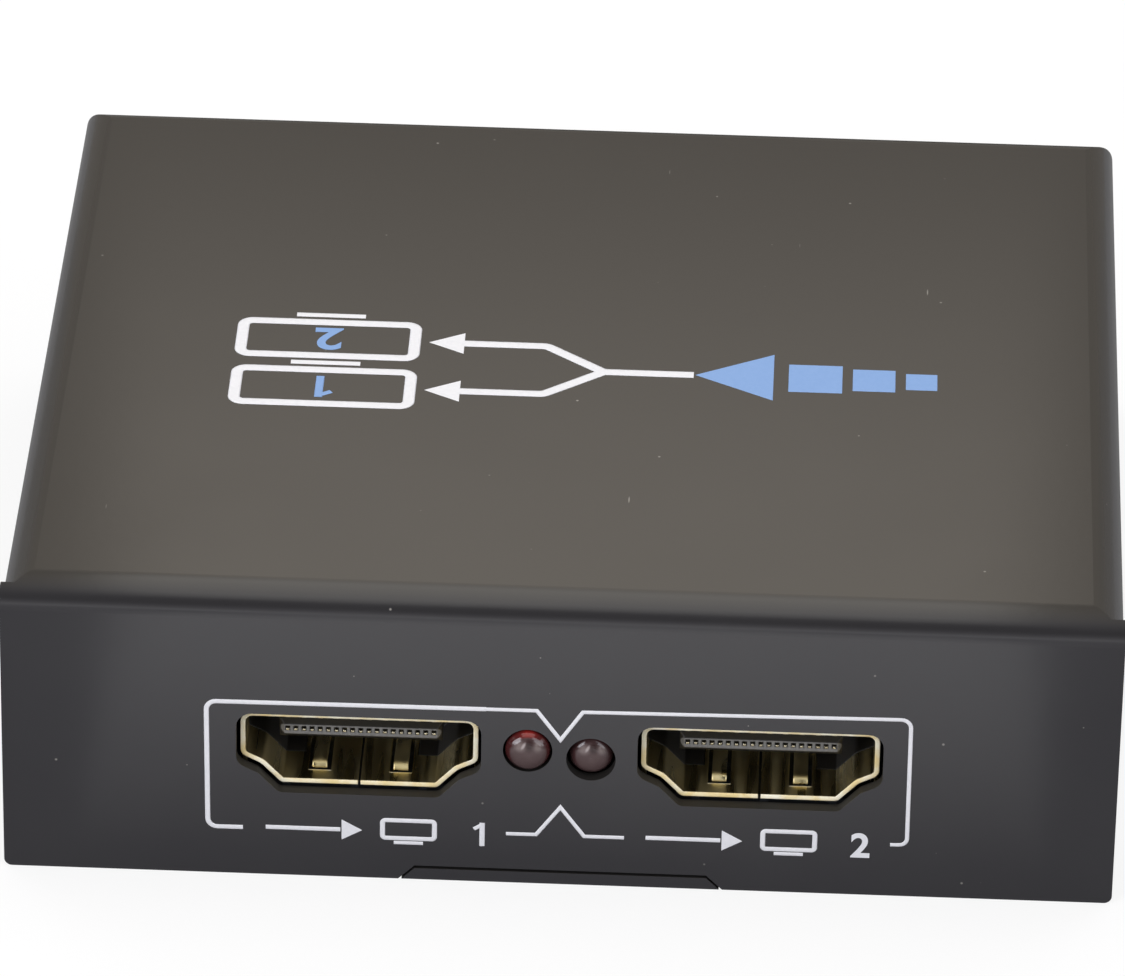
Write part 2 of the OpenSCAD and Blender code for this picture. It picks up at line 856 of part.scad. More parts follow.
// y-z section of a contact that starts at y and lies on the tongue from z to z + contact_t
module contact_section(y, z) {
    polygon([
        [y, z],
        [y, z + contact_t],
        [socket_len, z + contact_t],
        [socket_len, contact_t],
        [socket_len + contact_foot, contact_t],
        [socket_len + contact_foot, 0],
        [socket_len - contact_t, 0],
        [socket_len - contact_t, z]
    ]);
}

module socket_contacts() {
    color("#d8c27a")
    for (i = [0:contact_count - 1])
        sideways(contact_x(i), contact_w)
            if (i % 2 == 0)
                contact_section(blade_back + blade_bevel, blade_high);
            else
                contact_section(blade_back + blade_bevel + contact_back, blade_low - contact_t);
}

module output_1_shell() {
    output_place(-1)
        socket_shell();
}

module output_1_insulator() {
    output_place(-1)
        socket_insulator();
}

module output_1_contacts() {
    output_place(-1)
        socket_contacts();
}

module output_2_shell() {
    output_place(1)
        socket_shell();
}

module output_2_insulator() {
    output_place(1)
        socket_insulator();
}

module output_2_contacts() {
    output_place(1)
        socket_contacts();
}

module input_shell() {
    input_place()
        socket_shell();
}

module input_insulator() {
    input_place()
        socket_insulator();
}

module input_contacts() {
    input_place()
        socket_contacts();
}

// lamps

// half outline of a lens's nose, from its tip to its full width
function nose_points(steps) =
    [for (s = [0:steps])
        let (a = 90 * s / steps)
        [lamp_d / 2 * pow(sin(a), 2 / lamp_full), lamp_nose * (1 - pow(cos(a), 2 / lamp_full))]];

module lamp_lens(x, z, back) {
    color("#5a1418")
    translate([x, -face_y + back, z])
        rotate([-90, 0, 0])
            rotate_extrude()
                polygon([
                    each nose_points(12),
                    [lamp_d / 2, lamp_len - lamp_collar_len],
                    [lamp_collar_d / 2, lamp_len - lamp_collar_len],
                    [lamp_collar_d / 2, lamp_len],
                    [0, lamp_len]
                ]);
}

module lamp_leads(x, z, back) {
    start = -face_y + back + lamp_len;
    color("#b9b9bd")
    for (s = [-1, 1])
        sideways(x + s * lead_pitch / 2, lead_t)
            polygon([
                [start, z - lead_t / 2],
                [start + lead_run - lead_t, z - lead_t / 2],
                [start + lead_run - lead_t, board_under - leg_out],
                [start + lead_run, board_under - leg_out],
                [start + lead_run, z + lead_t / 2],
                [start, z + lead_t / 2]
            ]);
}

module lamp_1_lens() {
    lamp_lens(-lamp_x, lamp_1_z, -lamp_1_out);
}

module lamp_1_leads() {
    lamp_leads(-lamp_x, lamp_1_z, -lamp_1_out);
}

module lamp_2_lens() {
    lamp_lens(lamp_x, lamp_2_z, lamp_2_back);
}

module lamp_2_leads() {
    lamp_leads(lamp_x, lamp_2_z, lamp_2_back);
}

// power jack

module jack_body() {
    color("#232325")
    jack_place()
        difference() {
            translate([-jack_w / 2, 0, 0])
                cube([jack_w, jack_len, jack_h]);
            translate([0, -1, jack_axis_up])
                rotate([-90, 0, 0])
                    cylinder(h = jack_bore_deep + 1, d = jack_bore_d);
            translate([0, 0, jack_axis_up])
                rotate([-90, 0, 0])
                    cylinder(h = jack_len + 1, d = jack_shank_d + 2 * leg_gap);
            translate([-terminal_w / 2 - leg_gap, spring_front - leg_gap, -1])
                cube([terminal_w + 2 * leg_gap, spring_len + 2 * leg_gap, 1 + jack_axis_up]);
        }
}

module jack_pin() {
    color("#c4c4c8")
    jack_place()
        union() {
            translate([0, jack_pin_back + jack_pin_d / 2, jack_axis_up])
                sphere(d = jack_pin_d);
            translate([0, jack_pin_back + jack_pin_d / 2, jack_axis_up])
                rotate([-90, 0, 0])
                    cylinder(h = jack_bore_deep - jack_pin_back - jack_pin_d / 2, d = jack_pin_d);
            translate([0, jack_bore_deep - eps, jack_axis_up])
                rotate([-90, 0, 0])
                    cylinder(h = jack_len - jack_bore_deep + 2 * eps, d = jack_shank_d);
            translate([-terminal_w / 2, jack_len, -board_t - leg_out])
                cube([terminal_w, terminal_t, board_t + leg_out + jack_axis_up + terminal_w / 2]);
        }
}

// strip that presses on the plug from below, with its terminal through the board
module jack_spring() {
    stem = spring_front + spring_len / 2;
    rear = spring_front + spring_len;
    bow = spring_front + spring_len / 4;
    color("#c4c4c8")
    jack_place()
        sideways(0, terminal_w)
            polygon([
                [stem, -board_t - leg_out],
                [stem + terminal_t, -board_t - leg_out],
                [stem + terminal_t, bore_low - terminal_t],
                [rear, bore_low - terminal_t],
                [rear, bore_low],
                [stem, bore_low],
                [bow, bore_low + spring_rise],
                [spring_front, bore_low],
                [spring_front, bore_low - terminal_t],
                [bow, bore_low + spring_rise - terminal_t],
                [stem, bore_low - terminal_t]
            ]);
}

// parts on the board

// y-z section of a lead that leaves a chip of thickness t at y = 0 and stands on z = 0
module foot_section(t) {
    mid = chip_lift + t / 2;
    polygon([
        [0, mid],
        [0, mid + foot_t],
        [foot_reach / 2, mid + foot_t],
        [foot_reach / 2, foot_t],
        [foot_reach, foot_t],
        [foot_reach, 0],
        [foot_reach / 2 - foot_t, 0],
        [foot_reach / 2 - foot_t, mid]
    ]);
}

// one row of leads along the rear edge of a body of width w
module foot_row(w, t, count, pitch) {
    for (i = [0:count - 1])
        translate([0, w / 2, 0])
            sideways((i - (count - 1) / 2) * pitch, foot_w)
                foot_section(t);
}

module splitter_chip() {
    color("#26272a")
    block(0, chip_y, board_z + chip_lift, [chip_w, chip_w, chip_t]);
}

module splitter_chip_leads() {
    color("#bdbdc1")
    translate([0, chip_y, board_z])
        for (a = [0, 90, 180, 270])
            rotate([0, 0, a])
                foot_row(chip_w, chip_t, chip_leads, chip_pitch);
}

module memory_chip() {
    color("#26272a")
    block(memory_x, chip_y, board_z + chip_lift, [memory_len, memory_w, memory_t]);
}

module memory_chip_leads() {
    color("#bdbdc1")
    translate([memory_x, chip_y, board_z])
        for (a = [0, 180])
            rotate([0, 0, a])
                foot_row(memory_w, memory_t, memory_leads, memory_pitch);
}

module regulator() {
    color("#26272a")
    block(regulator_x, chip_y, board_z + chip_lift, [regulator_len, regulator_w, regulator_t]);
}

module regulator_leads() {
    color("#bdbdc1")
    translate([regulator_x, chip_y, board_z]) {
        foot_row(regulator_w, regulator_t, regulator_leads_n, regulator_pitch);
        rotate([0, 0, 180])
            translate([0, regulator_w / 2, 0])
                sideways(0, regulator_tab_w)
                    foot_section(regulator_t);
    }
}

module crystal_can() {
    color("#c6c6ca")
    translate([crystal_x, crystal_y, board_z])
        linear_extrude(crystal_h)
            union() {
                square([crystal_len - crystal_w, crystal_w], center = true);
                for (s = [-1, 1])
                    translate([s * (crystal_len - crystal_w) / 2, 0])
                        circle(d = crystal_w);
            }
}

module can_places() {
    for (s = [-1, 1])
        translate([can_x, chip_y + s * can_pitch / 2, board_z])
            children();
}

module large_capacitors() {
    color("#bfc0c4")
    can_places()
        translate([0, 0, can_foot_t])
            cylinder(h = can_h, d = can_d);
}

module large_capacitor_feet() {
    color("#222224")
    can_places()
        block(0, 0, 0, [can_foot_w, can_foot_w, can_foot_t]);
}

module small_capacitors() {
    color("#b08d62")
    for (sx = [-1, 1], sy = [-1, 0, 1])
        block(sx * capacitor_x, chip_y + sy * small_cap_pitch, board_z,
              [small_w, small_len, small_cap_h]);
}

module small_resistors() {
    color("#2b2b2d")
    for (s = [-1, 1], i = [-2:2])
        block(s * socket_pitch / 2 + i * small_res_pitch, resistor_y, board_z,
              [small_w, small_len, small_res_h]);
}

module input_diode() {
    color("#26272a")
    block(diode_x, diode_y, board_z, [diode_len, diode_w, diode_h]);
}

top_cover();
base_plate();
side_screws();
board_pillars();
board_screws();
circuit_board();
output_1_shell();
output_1_insulator();
output_1_contacts();
output_2_shell();
output_2_insulator();
output_2_contacts();
input_shell();
input_insulator();
input_contacts();
lamp_1_lens();
lamp_1_leads();
lamp_2_lens();
lamp_2_leads();
jack_body();
jack_pin();
jack_spring();
splitter_chip();
splitter_chip_leads();
memory_chip();
memory_chip_leads();
regulator();
regulator_leads();
crystal_can();
large_capacitors();
large_capacitor_feet();
small_capacitors();
small_resistors();
input_diode();
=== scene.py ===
# Small metal box that copies one picture signal to two screens, dressed for its photograph.
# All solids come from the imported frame, in metres, with the table top at z = 0.
import math
import bpy
from mathutils import Matrix, Vector


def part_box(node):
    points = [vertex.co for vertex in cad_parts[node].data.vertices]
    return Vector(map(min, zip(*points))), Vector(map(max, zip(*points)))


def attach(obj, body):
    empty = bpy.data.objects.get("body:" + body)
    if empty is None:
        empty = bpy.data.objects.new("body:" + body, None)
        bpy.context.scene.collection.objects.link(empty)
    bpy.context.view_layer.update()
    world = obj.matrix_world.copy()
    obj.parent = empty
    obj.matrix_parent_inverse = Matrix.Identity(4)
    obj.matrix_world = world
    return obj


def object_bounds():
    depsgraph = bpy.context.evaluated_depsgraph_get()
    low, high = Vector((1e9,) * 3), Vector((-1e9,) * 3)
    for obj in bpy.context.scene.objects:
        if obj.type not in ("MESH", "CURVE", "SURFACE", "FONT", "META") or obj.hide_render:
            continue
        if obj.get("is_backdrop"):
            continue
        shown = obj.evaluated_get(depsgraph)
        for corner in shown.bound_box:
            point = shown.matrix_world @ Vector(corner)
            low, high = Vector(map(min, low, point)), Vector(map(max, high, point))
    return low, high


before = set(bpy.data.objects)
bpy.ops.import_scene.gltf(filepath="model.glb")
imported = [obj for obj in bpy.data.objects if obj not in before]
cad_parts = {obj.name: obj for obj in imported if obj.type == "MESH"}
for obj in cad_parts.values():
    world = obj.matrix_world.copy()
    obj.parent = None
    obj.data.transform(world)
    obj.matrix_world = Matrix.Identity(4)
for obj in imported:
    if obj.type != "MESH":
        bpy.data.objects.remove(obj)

cad_low, cad_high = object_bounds()
bpy.context.scene.view_settings.view_transform = "Standard"

# Base plate
# The lower half of the case: one steel sheet folded up at both sides, pierced, degreased, sprayed black and
# baked. It stands on the table, carries the pillars, and the cover is screwed to its upturned sides.
MM = 0.001


def linear(colour):
    """An sRGB hex colour as linear light."""
    parts = [int(colour[i:i + 2], 16) / 255 for i in (1, 3, 5)]
    return [c / 12.92 if c <= 0.04045 else ((c + 0.055) / 1.055) ** 2.4 for c in parts] + [1.0]


def add(tree, kind, settings=(), sockets=()):
    """Adds one node. Settings are its own options; a socket is set to a value or linked to an output."""
    node = tree.nodes.new(kind)
    for name, value in dict(settings).items():
        setattr(node, name, value)
    for name, value in dict(sockets).items():
        if isinstance(value, bpy.types.NodeSocket):
            tree.links.new(value, node.inputs[name])
        else:
            node.inputs[name].default_value = value
    return node


def start(name):
    """An empty material, its node tree, and the place on the object that its patterns read."""
    material = bpy.data.materials.new(name)
    material.use_nodes = True
    material.node_tree.nodes.clear()
    return material, material.node_tree, add(material.node_tree, "ShaderNodeTexCoord").outputs["Object"]


def dress(material, *names):
    """Gives solids of the frame their finish."""
    for name in names:
        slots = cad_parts[name].data.materials
        slots.clear()
        slots.append(material)


# Baked satin enamel on steel: almost black, with an even half-gloss that greys where it mirrors the room, a
# faint orange peel about 0.7 mm wide, and a few specks and short hair marks from handling. Dust warms what
# lies face up. A band of painted shade darkens the middle of the front and rear bends, and the cut edges
# inside the punched holes are painted darker as shade in the holes, with a dull gloss.
cloud_width = 11 * MM
peel_width = 0.7 * MM
peel_height = 0.006 * MM
speck_gap = 3.0 * MM
hair_gap = 2.6 * MM
sheet_thick = 0.8 * MM
hole_side_margin = 4 * MM
hole_top_margin = 3 * MM
# How far up a bend faces where its painted shade begins and where it is darkest, from above and from below.
bend_shade_above = (0.93, 0.48)
bend_shade_below = (0.22, 0.46)
baked_enamel, tree, place = start("baked_satin_enamel")
cloud = add(tree, "ShaderNodeTexNoise", {}, {"Vector": place, "Scale": 1 / cloud_width, "Detail": 4.0})
peel = add(tree, "ShaderNodeTexNoise", {}, {"Vector": place, "Scale": 1 / peel_width, "Detail": 2.0})
speck_cells = add(tree, "ShaderNodeTexVoronoi", {}, {"Vector": place, "Scale": 1 / speck_gap})
dot = add(tree, "ShaderNodeMapRange", {}, {
    "Value": speck_cells.outputs["Distance"], "From Min": 0.015, "From Max": 0.034,
    "To Min": 1.0, "To Max": 0.0})
speck = add(tree, "ShaderNodeMath", {"operation": "MULTIPLY"}, {
    0: dot.outputs[0], 1: speck_cells.outputs["Color"]})
hair_place = add(tree, "ShaderNodeMapping", {}, {
    "Vector": place, "Rotation": (0.7, 0.5, 0.9), "Scale": (1.0, 0.12, 1.0)})
hair_cells = add(tree, "ShaderNodeTexVoronoi", {}, {"Vector": hair_place.outputs[0], "Scale": 1 / hair_gap})
hair = add(tree, "ShaderNodeMapRange", {}, {
    "Value": hair_cells.outputs["Distance"], "From Min": 0.010, "From Max": 0.022,
    "To Min": 0.7, "To Max": 0.0})
marks = add(tree, "ShaderNodeMath", {"operation": "MAXIMUM"}, {0: speck.outputs[0], 1: hair.outputs[0]})
facing = add(tree, "ShaderNodeSeparateXYZ", {}, {0: add(tree, "ShaderNodeTexCoord").outputs["Normal"]})
face_up = add(tree, "ShaderNodeMapRange", {}, {
    "Value": facing.outputs["Z"], "From Min": 0.5, "From Max": 0.95})
shade = add(tree, "ShaderNodeMix", {"data_type": "RGBA"}, {
    0: cloud.outputs["Fac"], 6: linear("#39383a"), 7: linear("#3f3e3f")})
dusted = add(tree, "ShaderNodeMix", {"data_type": "RGBA"}, {
    0: face_up.outputs[0], 6: shade.outputs[2], 7: linear("#3a3733")})
# Painted shade: a darker band along the middle of the front and rear bends.
bend_in = add(tree, "ShaderNodeMapRange", {"interpolation_type": "SMOOTHSTEP"}, {
    "Value": facing.outputs["Z"], "From Min": bend_shade_above[0], "From Max": bend_shade_above[1]})
bend_out = add(tree, "ShaderNodeMapRange", {"interpolation_type": "SMOOTHSTEP"}, {
    "Value": facing.outputs["Z"], "From Min": bend_shade_below[0], "From Max": bend_shade_below[1]})
turned = add(tree, "ShaderNodeMath", {"operation": "ABSOLUTE"}, {0: facing.outputs["Y"]})
on_ends = add(tree, "ShaderNodeMapRange", {}, {"Value": turned.outputs[0], "From Min": 0.3, "From Max": 0.5})
bend = add(tree, "ShaderNodeMath", {"operation": "MULTIPLY"}, {
    0: bend_in.outputs[0], 1: bend_out.outputs[0]})
bend_shade = add(tree, "ShaderNodeMath", {"operation": "MULTIPLY"}, {0: bend.outputs[0], 1: on_ends.outputs[0]})
bend_shaded = add(tree, "ShaderNodeMix", {"data_type": "RGBA"}, {
    0: bend_shade.outputs[0], 6: dusted.outputs[2], 7: linear("#2d2c2d")})
marked = add(tree, "ShaderNodeMix", {"data_type": "RGBA"}, {
    0: marks.outputs[0], 6: bend_shaded.outputs[2], 7: linear("#97938c")})
axes = add(tree, "ShaderNodeSeparateXYZ", {}, {0: place})
# Painted shade: the cut edges inside the punched holes get a darker colour and a dull gloss.
depth = add(tree, "ShaderNodeMath", {"operation": "ABSOLUTE"}, {0: axes.outputs["Y"]})
half_sheet = add(tree, "ShaderNodeMath", {"operation": "COMPARE"}, {
    0: depth.outputs[0], 1: cad_high.y - sheet_thick / 2, 2: 0.48 * sheet_thick})
wide = add(tree, "ShaderNodeMath", {"operation": "COMPARE"}, {
    0: axes.outputs["X"], 1: 0.0, 2: cad_high.x - hole_side_margin})
below = add(tree, "ShaderNodeMath", {"operation": "LESS_THAN"}, {
    0: axes.outputs["Z"], 1: cad_high.z - hole_top_margin})
inset = add(tree, "ShaderNodeMath", {"operation": "MULTIPLY"}, {
    0: half_sheet.outputs[0], 1: wide.outputs[0]})
shaded_cut_edge = add(tree, "ShaderNodeMath", {"operation": "MULTIPLY"}, {0: inset.outputs[0], 1: below.outputs[0]})
tone = add(tree, "ShaderNodeMix", {"data_type": "RGBA"}, {
    0: shaded_cut_edge.outputs[0], 6: marked.outputs[2], 7: linear("#1f1d1b")})
satin = add(tree, "ShaderNodeMapRange", {}, {
    "Value": cloud.outputs["Fac"], "From Min": 0.3, "From Max": 0.7, "To Min": 0.18, "To Max": 0.23})
gloss = add(tree, "ShaderNodeMix", {"data_type": "FLOAT"}, {0: shaded_cut_edge.outputs[0], 2: satin.outputs[0], 3: 0.55})
skin = add(tree, "ShaderNodeBump", {}, {
    "Strength": 0.6, "Distance": peel_height, "Height": peel.outputs["Fac"]})
surface = add(tree, "ShaderNodeBsdfPrincipled", {}, {
    "Base Color": tone.outputs[2], "Roughness": gloss.outputs[0], "Normal": skin.outputs[0]})
add(tree, "ShaderNodeOutputMaterial", {}, {"Surface": surface.outputs[0]})
dress(baked_enamel, "base_plate")

# Board pillars and board screws
# Four turned brass pillars staked into the base plate, plated with nickel, and four pan-head steel screws
# with zinc plating that hold the board down on them.
# Nickel plate: a warm grey mirror blurred by fine turning rings about 0.08 mm apart.
ring_gap = 0.08 * MM
ring_height = 0.004 * MM
wave_length = 0.31  # of the wave pattern at scale one
nickel_stain = 1.5 * MM
nickel, tree, place = start("nickel_plated_brass")
rings = add(tree, "ShaderNodeTexWave", {"bands_direction": "Z"}, {
    "Vector": place, "Scale": wave_length / ring_gap, "Distortion": 1.0})
stain = add(tree, "ShaderNodeTexNoise", {}, {"Vector": place, "Scale": 1 / nickel_stain, "Detail": 3.0})
tone = add(tree, "ShaderNodeMix", {"data_type": "RGBA"}, {
    0: stain.outputs["Fac"], 6: linear("#b9b4a6"), 7: linear("#cfcabd")})
skin = add(tree, "ShaderNodeBump", {}, {
    "Strength": 0.3, "Distance": ring_height, "Height": rings.outputs["Fac"]})
surface = add(tree, "ShaderNodeBsdfPrincipled", {}, {
    "Base Color": tone.outputs[2], "Metallic": 1.0, "Roughness": 0.28, "Normal": skin.outputs[0]})
add(tree, "ShaderNodeOutputMaterial", {}, {"Surface": surface.outputs[0]})
dress(nickel, "board_pillars")

# Zinc plate on steel: a bluish grey metal, cloudy over about 1 mm where the plating spangles.


def cloudy_metal(name, width, detail, dark, pale, smooth, rough, stretch=(1.0, 1.0, 1.0)):
    """A bare metal whose colour and gloss vary together over that width, drawn out along an axis."""
    metal, tree, place = start(name)
    drawn = add(tree, "ShaderNodeMapping", {}, {"Vector": place, "Scale": stretch})
    stain = add(tree, "ShaderNodeTexNoise", {}, {
        "Vector": drawn.outputs[0], "Scale": 1 / width, "Detail": detail})
    tone = add(tree, "ShaderNodeMix", {"data_type": "RGBA"}, {
        0: stain.outputs["Fac"], 6: linear(dark), 7: linear(pale)})
    gloss = add(tree, "ShaderNodeMapRange", {}, {
        "Value": stain.outputs["Fac"], "To Min": smooth, "To Max": rough})
    surface = add(tree, "ShaderNodeBsdfPrincipled", {}, {
        "Base Color": tone.outputs[2], "Metallic": 1.0, "Roughness": gloss.outputs[0]})
    add(tree, "ShaderNodeOutputMaterial", {}, {"Surface": surface.outputs[0]})
    return metal


zinc = cloudy_metal(
    "zinc_plated_steel", width=1.0 * MM, detail=4.0, dark="#9fa3a8", pale="#c3c6ca", smooth=0.25, rough=0.45)
dress(zinc, "board_screws")

# Circuit board
# A glass-cloth epoxy board, 1.6 mm thick, routed to shape and drilled, with copper tracks under a black
# resist. Under the resist the tracks show as paler lines about 0.5 mm wide on a 2 mm grid of runs.
track_half = 0.25 * MM
track_gap = 2 * MM
track_run = 7 * MM
track_height = 0.03 * MM
weave_width = 0.5 * MM
laminate, tree, place = start("glass_epoxy_board_with_black_resist")
runs = add(tree, "ShaderNodeTexBrick", {"offset": 0.37, "squash": 0.6, "squash_frequency": 3}, {
    "Vector": place, "Scale": 1.0, "Mortar Size": track_half, "Mortar Smooth": 0.1,
    "Brick Width": track_run, "Row Height": track_gap,
    "Color1": (0, 0, 0, 1), "Color2": (0, 0, 0, 1), "Mortar": (1, 1, 1, 1)})
cloth = add(tree, "ShaderNodeTexNoise", {}, {"Vector": place, "Scale": 1 / weave_width, "Detail": 2.0})
resist = add(tree, "ShaderNodeMix", {"data_type": "RGBA"}, {
    0: cloth.outputs["Fac"], 6: linear("#131415"), 7: linear("#1a1b1d")})
tone = add(tree, "ShaderNodeMix", {"data_type": "RGBA"}, {
    0: runs.outputs["Color"], 6: resist.outputs[2], 7: linear("#292b2e")})
skin = add(tree, "ShaderNodeBump", {}, {
    "Strength": 0.5, "Distance": track_height, "Height": runs.outputs["Color"]})
surface = add(tree, "ShaderNodeBsdfPrincipled", {}, {
    "Base Color": tone.outputs[2], "Roughness": 0.3, "Normal": skin.outputs[0]})
add(tree, "ShaderNodeOutputMaterial", {}, {"Surface": surface.outputs[0]})
dress(laminate, "circuit_board")

# Chips, regulator and input diode
# Small circuits moulded in black epoxy and soldered to the board by bent legs of tinned copper.
# Moulding resin: dull black with a fine spark-eroded grain of about 0.1 mm.
resin_grain = 0.1 * MM
resin_height = 0.01 * MM
resin, tree, place = start("black_moulding_epoxy")
grain = add(tree, "ShaderNodeTexNoise", {}, {"Vector": place, "Scale": 1 / resin_grain, "Detail": 2.0})
tone = add(tree, "ShaderNodeMix", {"data_type": "RGBA"}, {
    0: grain.outputs["Fac"], 6: linear("#191919"), 7: linear("#262625")})
skin = add(tree, "ShaderNodeBump", {}, {
    "Strength": 0.4, "Distance": resin_height, "Height": grain.outputs["Fac"]})
surface = add(tree, "ShaderNodeBsdfPrincipled", {}, {
    "Base Color": tone.outputs[2], "Roughness": 0.62, "Normal": skin.outputs[0]})
add(tree, "ShaderNodeOutputMaterial", {}, {"Surface": surface.outputs[0]})
dress(resin, "splitter_chip", "memory_chip", "regulator", "input_diode")

# Dull tin: a soft grey metal with a slightly uneven, hand-dulled gloss over about 0.4 mm.
tin = cloudy_metal(
    "dull_tin_plate", width=0.4 * MM, detail=3.0, dark="#a9a8a4", pale="#cbc9c4", smooth=0.3, rough=0.5)
dress(tin, "splitter_chip_leads", "memory_chip_leads", "regulator_leads", "lamp_1_leads", "lamp_2_leads")

# Crystal can
# A drawn steel can with nickel plating, welded shut and soldered flat on the board.
# Drawing leaves a bright metal with faint upright streaks about 0.3 mm apart.
drawn_steel = cloudy_metal(
    "drawn_nickel_steel", width=0.3 * MM, detail=2.0, dark="#b2b0aa", pale="#d4d2cc",
    smooth=0.18, rough=0.34, stretch=(1.0, 1.0, 0.08))
dress(drawn_steel, "crystal_can")

# Large and small capacitors, resistors
# Two aluminium cans crimped on black plastic feet, and rows of ceramic chips soldered at both ends.
# Drawn aluminium: pale, clean and softly blurred, with rings of about 0.2 mm from the drawing die.
can_aluminium = cloudy_metal(
    "drawn_aluminium", width=0.2 * MM, detail=2.0, dark="#c6c8ca", pale="#e2e3e4",
    smooth=0.25, rough=0.4, stretch=(0.1, 0.1, 1.0))
dress(can_aluminium, "large_capacitors")

# Moulded polyester: black, a little glossy, with a grain of about 0.25 mm from the mould.
mould_grain = 0.25 * MM
mould_height = 0.006 * MM
polyester, tree, place = start("black_moulded_polyester")
grain = add(tree, "ShaderNodeTexNoise", {}, {"Vector": place, "Scale": 1 / mould_grain, "Detail": 3.0})
tone = add(tree, "ShaderNodeMix", {"data_type": "RGBA"}, {
    0: grain.outputs["Fac"], 6: linear("#161617"), 7: linear("#222223")})
gloss = add(tree, "ShaderNodeMapRange", {}, {"Value": grain.outputs["Fac"], "To Min": 0.32, "To Max": 0.5})
skin = add(tree, "ShaderNodeBump", {}, {
    "Strength": 0.3, "Distance": mould_height, "Height": grain.outputs["Fac"]})
surface = add(tree, "ShaderNodeBsdfPrincipled", {}, {
    "Base Color": tone.outputs[2], "Roughness": gloss.outputs[0], "Normal": skin.outputs[0]})
add(tree, "ShaderNodeOutputMaterial", {}, {"Surface": surface.outputs[0]})
dress(polyester, "large_capacitor_feet")

# Fired ceramic: tan on the capacitors, black glaze on the resistors, both speckled over about 0.2 mm.
ceramic_fleck = 0.2 * MM
for name, node, dark, pale, rough in (
        ("tan_fired_ceramic", "small_capacitors", "#8f7350", "#a98c66", 0.45),
        ("black_glazed_ceramic", "small_resistors", "#1c1c1f", "#303034", 0.3)):
    ceramic, tree, place = start(name)
    fleck = add(tree, "ShaderNodeTexNoise", {}, {"Vector": place, "Scale": 1 / ceramic_fleck, "Detail": 3.0})
    tone = add(tree, "ShaderNodeMix", {"data_type": "RGBA"}, {
        0: fleck.outputs["Fac"], 6: linear(dark), 7: linear(pale)})
    surface = add(tree, "ShaderNodeBsdfPrincipled", {}, {"Base Color": tone.outputs[2], "Roughness": rough})
    add(tree, "ShaderNodeOutputMaterial", {}, {"Surface": surface.outputs[0]})
    dress(ceramic, node)

# Picture sockets: shells
# Each socket's shell is stamped from thin steel, folded into a D with a seam below, and flashed with gold.
# Its legs are soldered through the board and its rim stands just behind the case's sheet.
# Gold flash over nickel: a pale, slightly greenish gold mirror, blurred in streaks about 0.8 mm wide where
# the die dragged, with finer lines of 0.12 mm, and a little browner in patches of about 2 mm. The sheared
# rim and the burr in front of each spring's window are torn and grainy, so they scatter light; their pale to
# near-white colour is partly painted highlight, which draws the burr as a bright line. All edges are
# tumbled round.
gold_patch = 2.0 * MM
drag_width = 0.8 * MM
line_gap = 0.12 * MM
line_height = 0.004 * MM
tear_width = 1.2 * MM
tumble_radius = 0.13 * MM
rim_y = -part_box("output_1_shell")[0].y
rim_deep = 0.02 * MM
window_back = 1.1 * MM
window_half = 0.7 * MM
burr_half = 0.05 * MM
socket_pitch = 24.6 * MM
finger_pitch = 5.0 * MM
gold_flash, tree, place = start("gold_flashed_steel")
patch = add(tree, "ShaderNodeTexNoise", {}, {"Vector": place, "Scale": 1 / gold_patch, "Detail": 3.0})
line_place = add(tree, "ShaderNodeMapping", {}, {"Vector": place, "Scale": (1.0, 0.06, 1.0)})
lines = add(tree, "ShaderNodeTexNoise", {}, {
    "Vector": line_place.outputs[0], "Scale": 1 / line_gap, "Detail": 2.0})
tone = add(tree, "ShaderNodeMix", {"data_type": "RGBA"}, {
    0: patch.outputs["Fac"], 6: linear("#dcc88b"), 7: linear("#f2e6ba")})
drag = add(tree, "ShaderNodeTexNoise", {}, {
    "Vector": line_place.outputs[0], "Scale": 1 / drag_width, "Detail": 1.0})
gloss = add(tree, "ShaderNodeMapRange", {}, {
    "Value": drag.outputs["Fac"], "From Min": 0.35, "From Max": 0.65, "To Min": 0.2, "To Max": 0.44})
axes = add(tree, "ShaderNodeSeparateXYZ", {}, {0: place})
depth = add(tree, "ShaderNodeMath", {"operation": "ABSOLUTE"}, {0: axes.outputs["Y"]})
rim = add(tree, "ShaderNodeMath", {"operation": "GREATER_THAN"}, {0: depth.outputs[0], 1: rim_y - rim_deep})
lip = add(tree, "ShaderNodeMath", {"operation": "COMPARE"}, {
    0: depth.outputs[0], 1: rim_y - window_back + burr_half, 2: burr_half})
aside = add(tree, "ShaderNodeMath", {"operation": "ABSOLUTE"}, {0: axes.outputs["X"]})
window_in = add(tree, "ShaderNodeMath", {"operation": "COMPARE"}, {
    0: aside.outputs[0], 1: (socket_pitch - finger_pitch) / 2, 2: window_half})
window_out = add(tree, "ShaderNodeMath", {"operation": "COMPARE"}, {
    0: aside.outputs[0], 1: (socket_pitch + finger_pitch) / 2, 2: window_half})
window = add(tree, "ShaderNodeMath", {"operation": "MAXIMUM"}, {
    0: window_in.outputs[0], 1: window_out.outputs[0]})
burr_highlight = add(tree, "ShaderNodeMath", {"operation": "MULTIPLY"}, {0: lip.outputs[0], 1: window.outputs[0]})
sheared_highlight = add(tree, "ShaderNodeMath", {"operation": "MAXIMUM"}, {0: rim.outputs[0], 1: burr_highlight.outputs[0]})
grain = add(tree, "ShaderNodeTexNoise", {}, {"Vector": place, "Scale": 1 / tear_width, "Detail": 4.0})
torn = add(tree, "ShaderNodeMapRange", {}, {
    "Value": grain.outputs["Fac"], "From Min": 0.35, "From Max": 0.65})
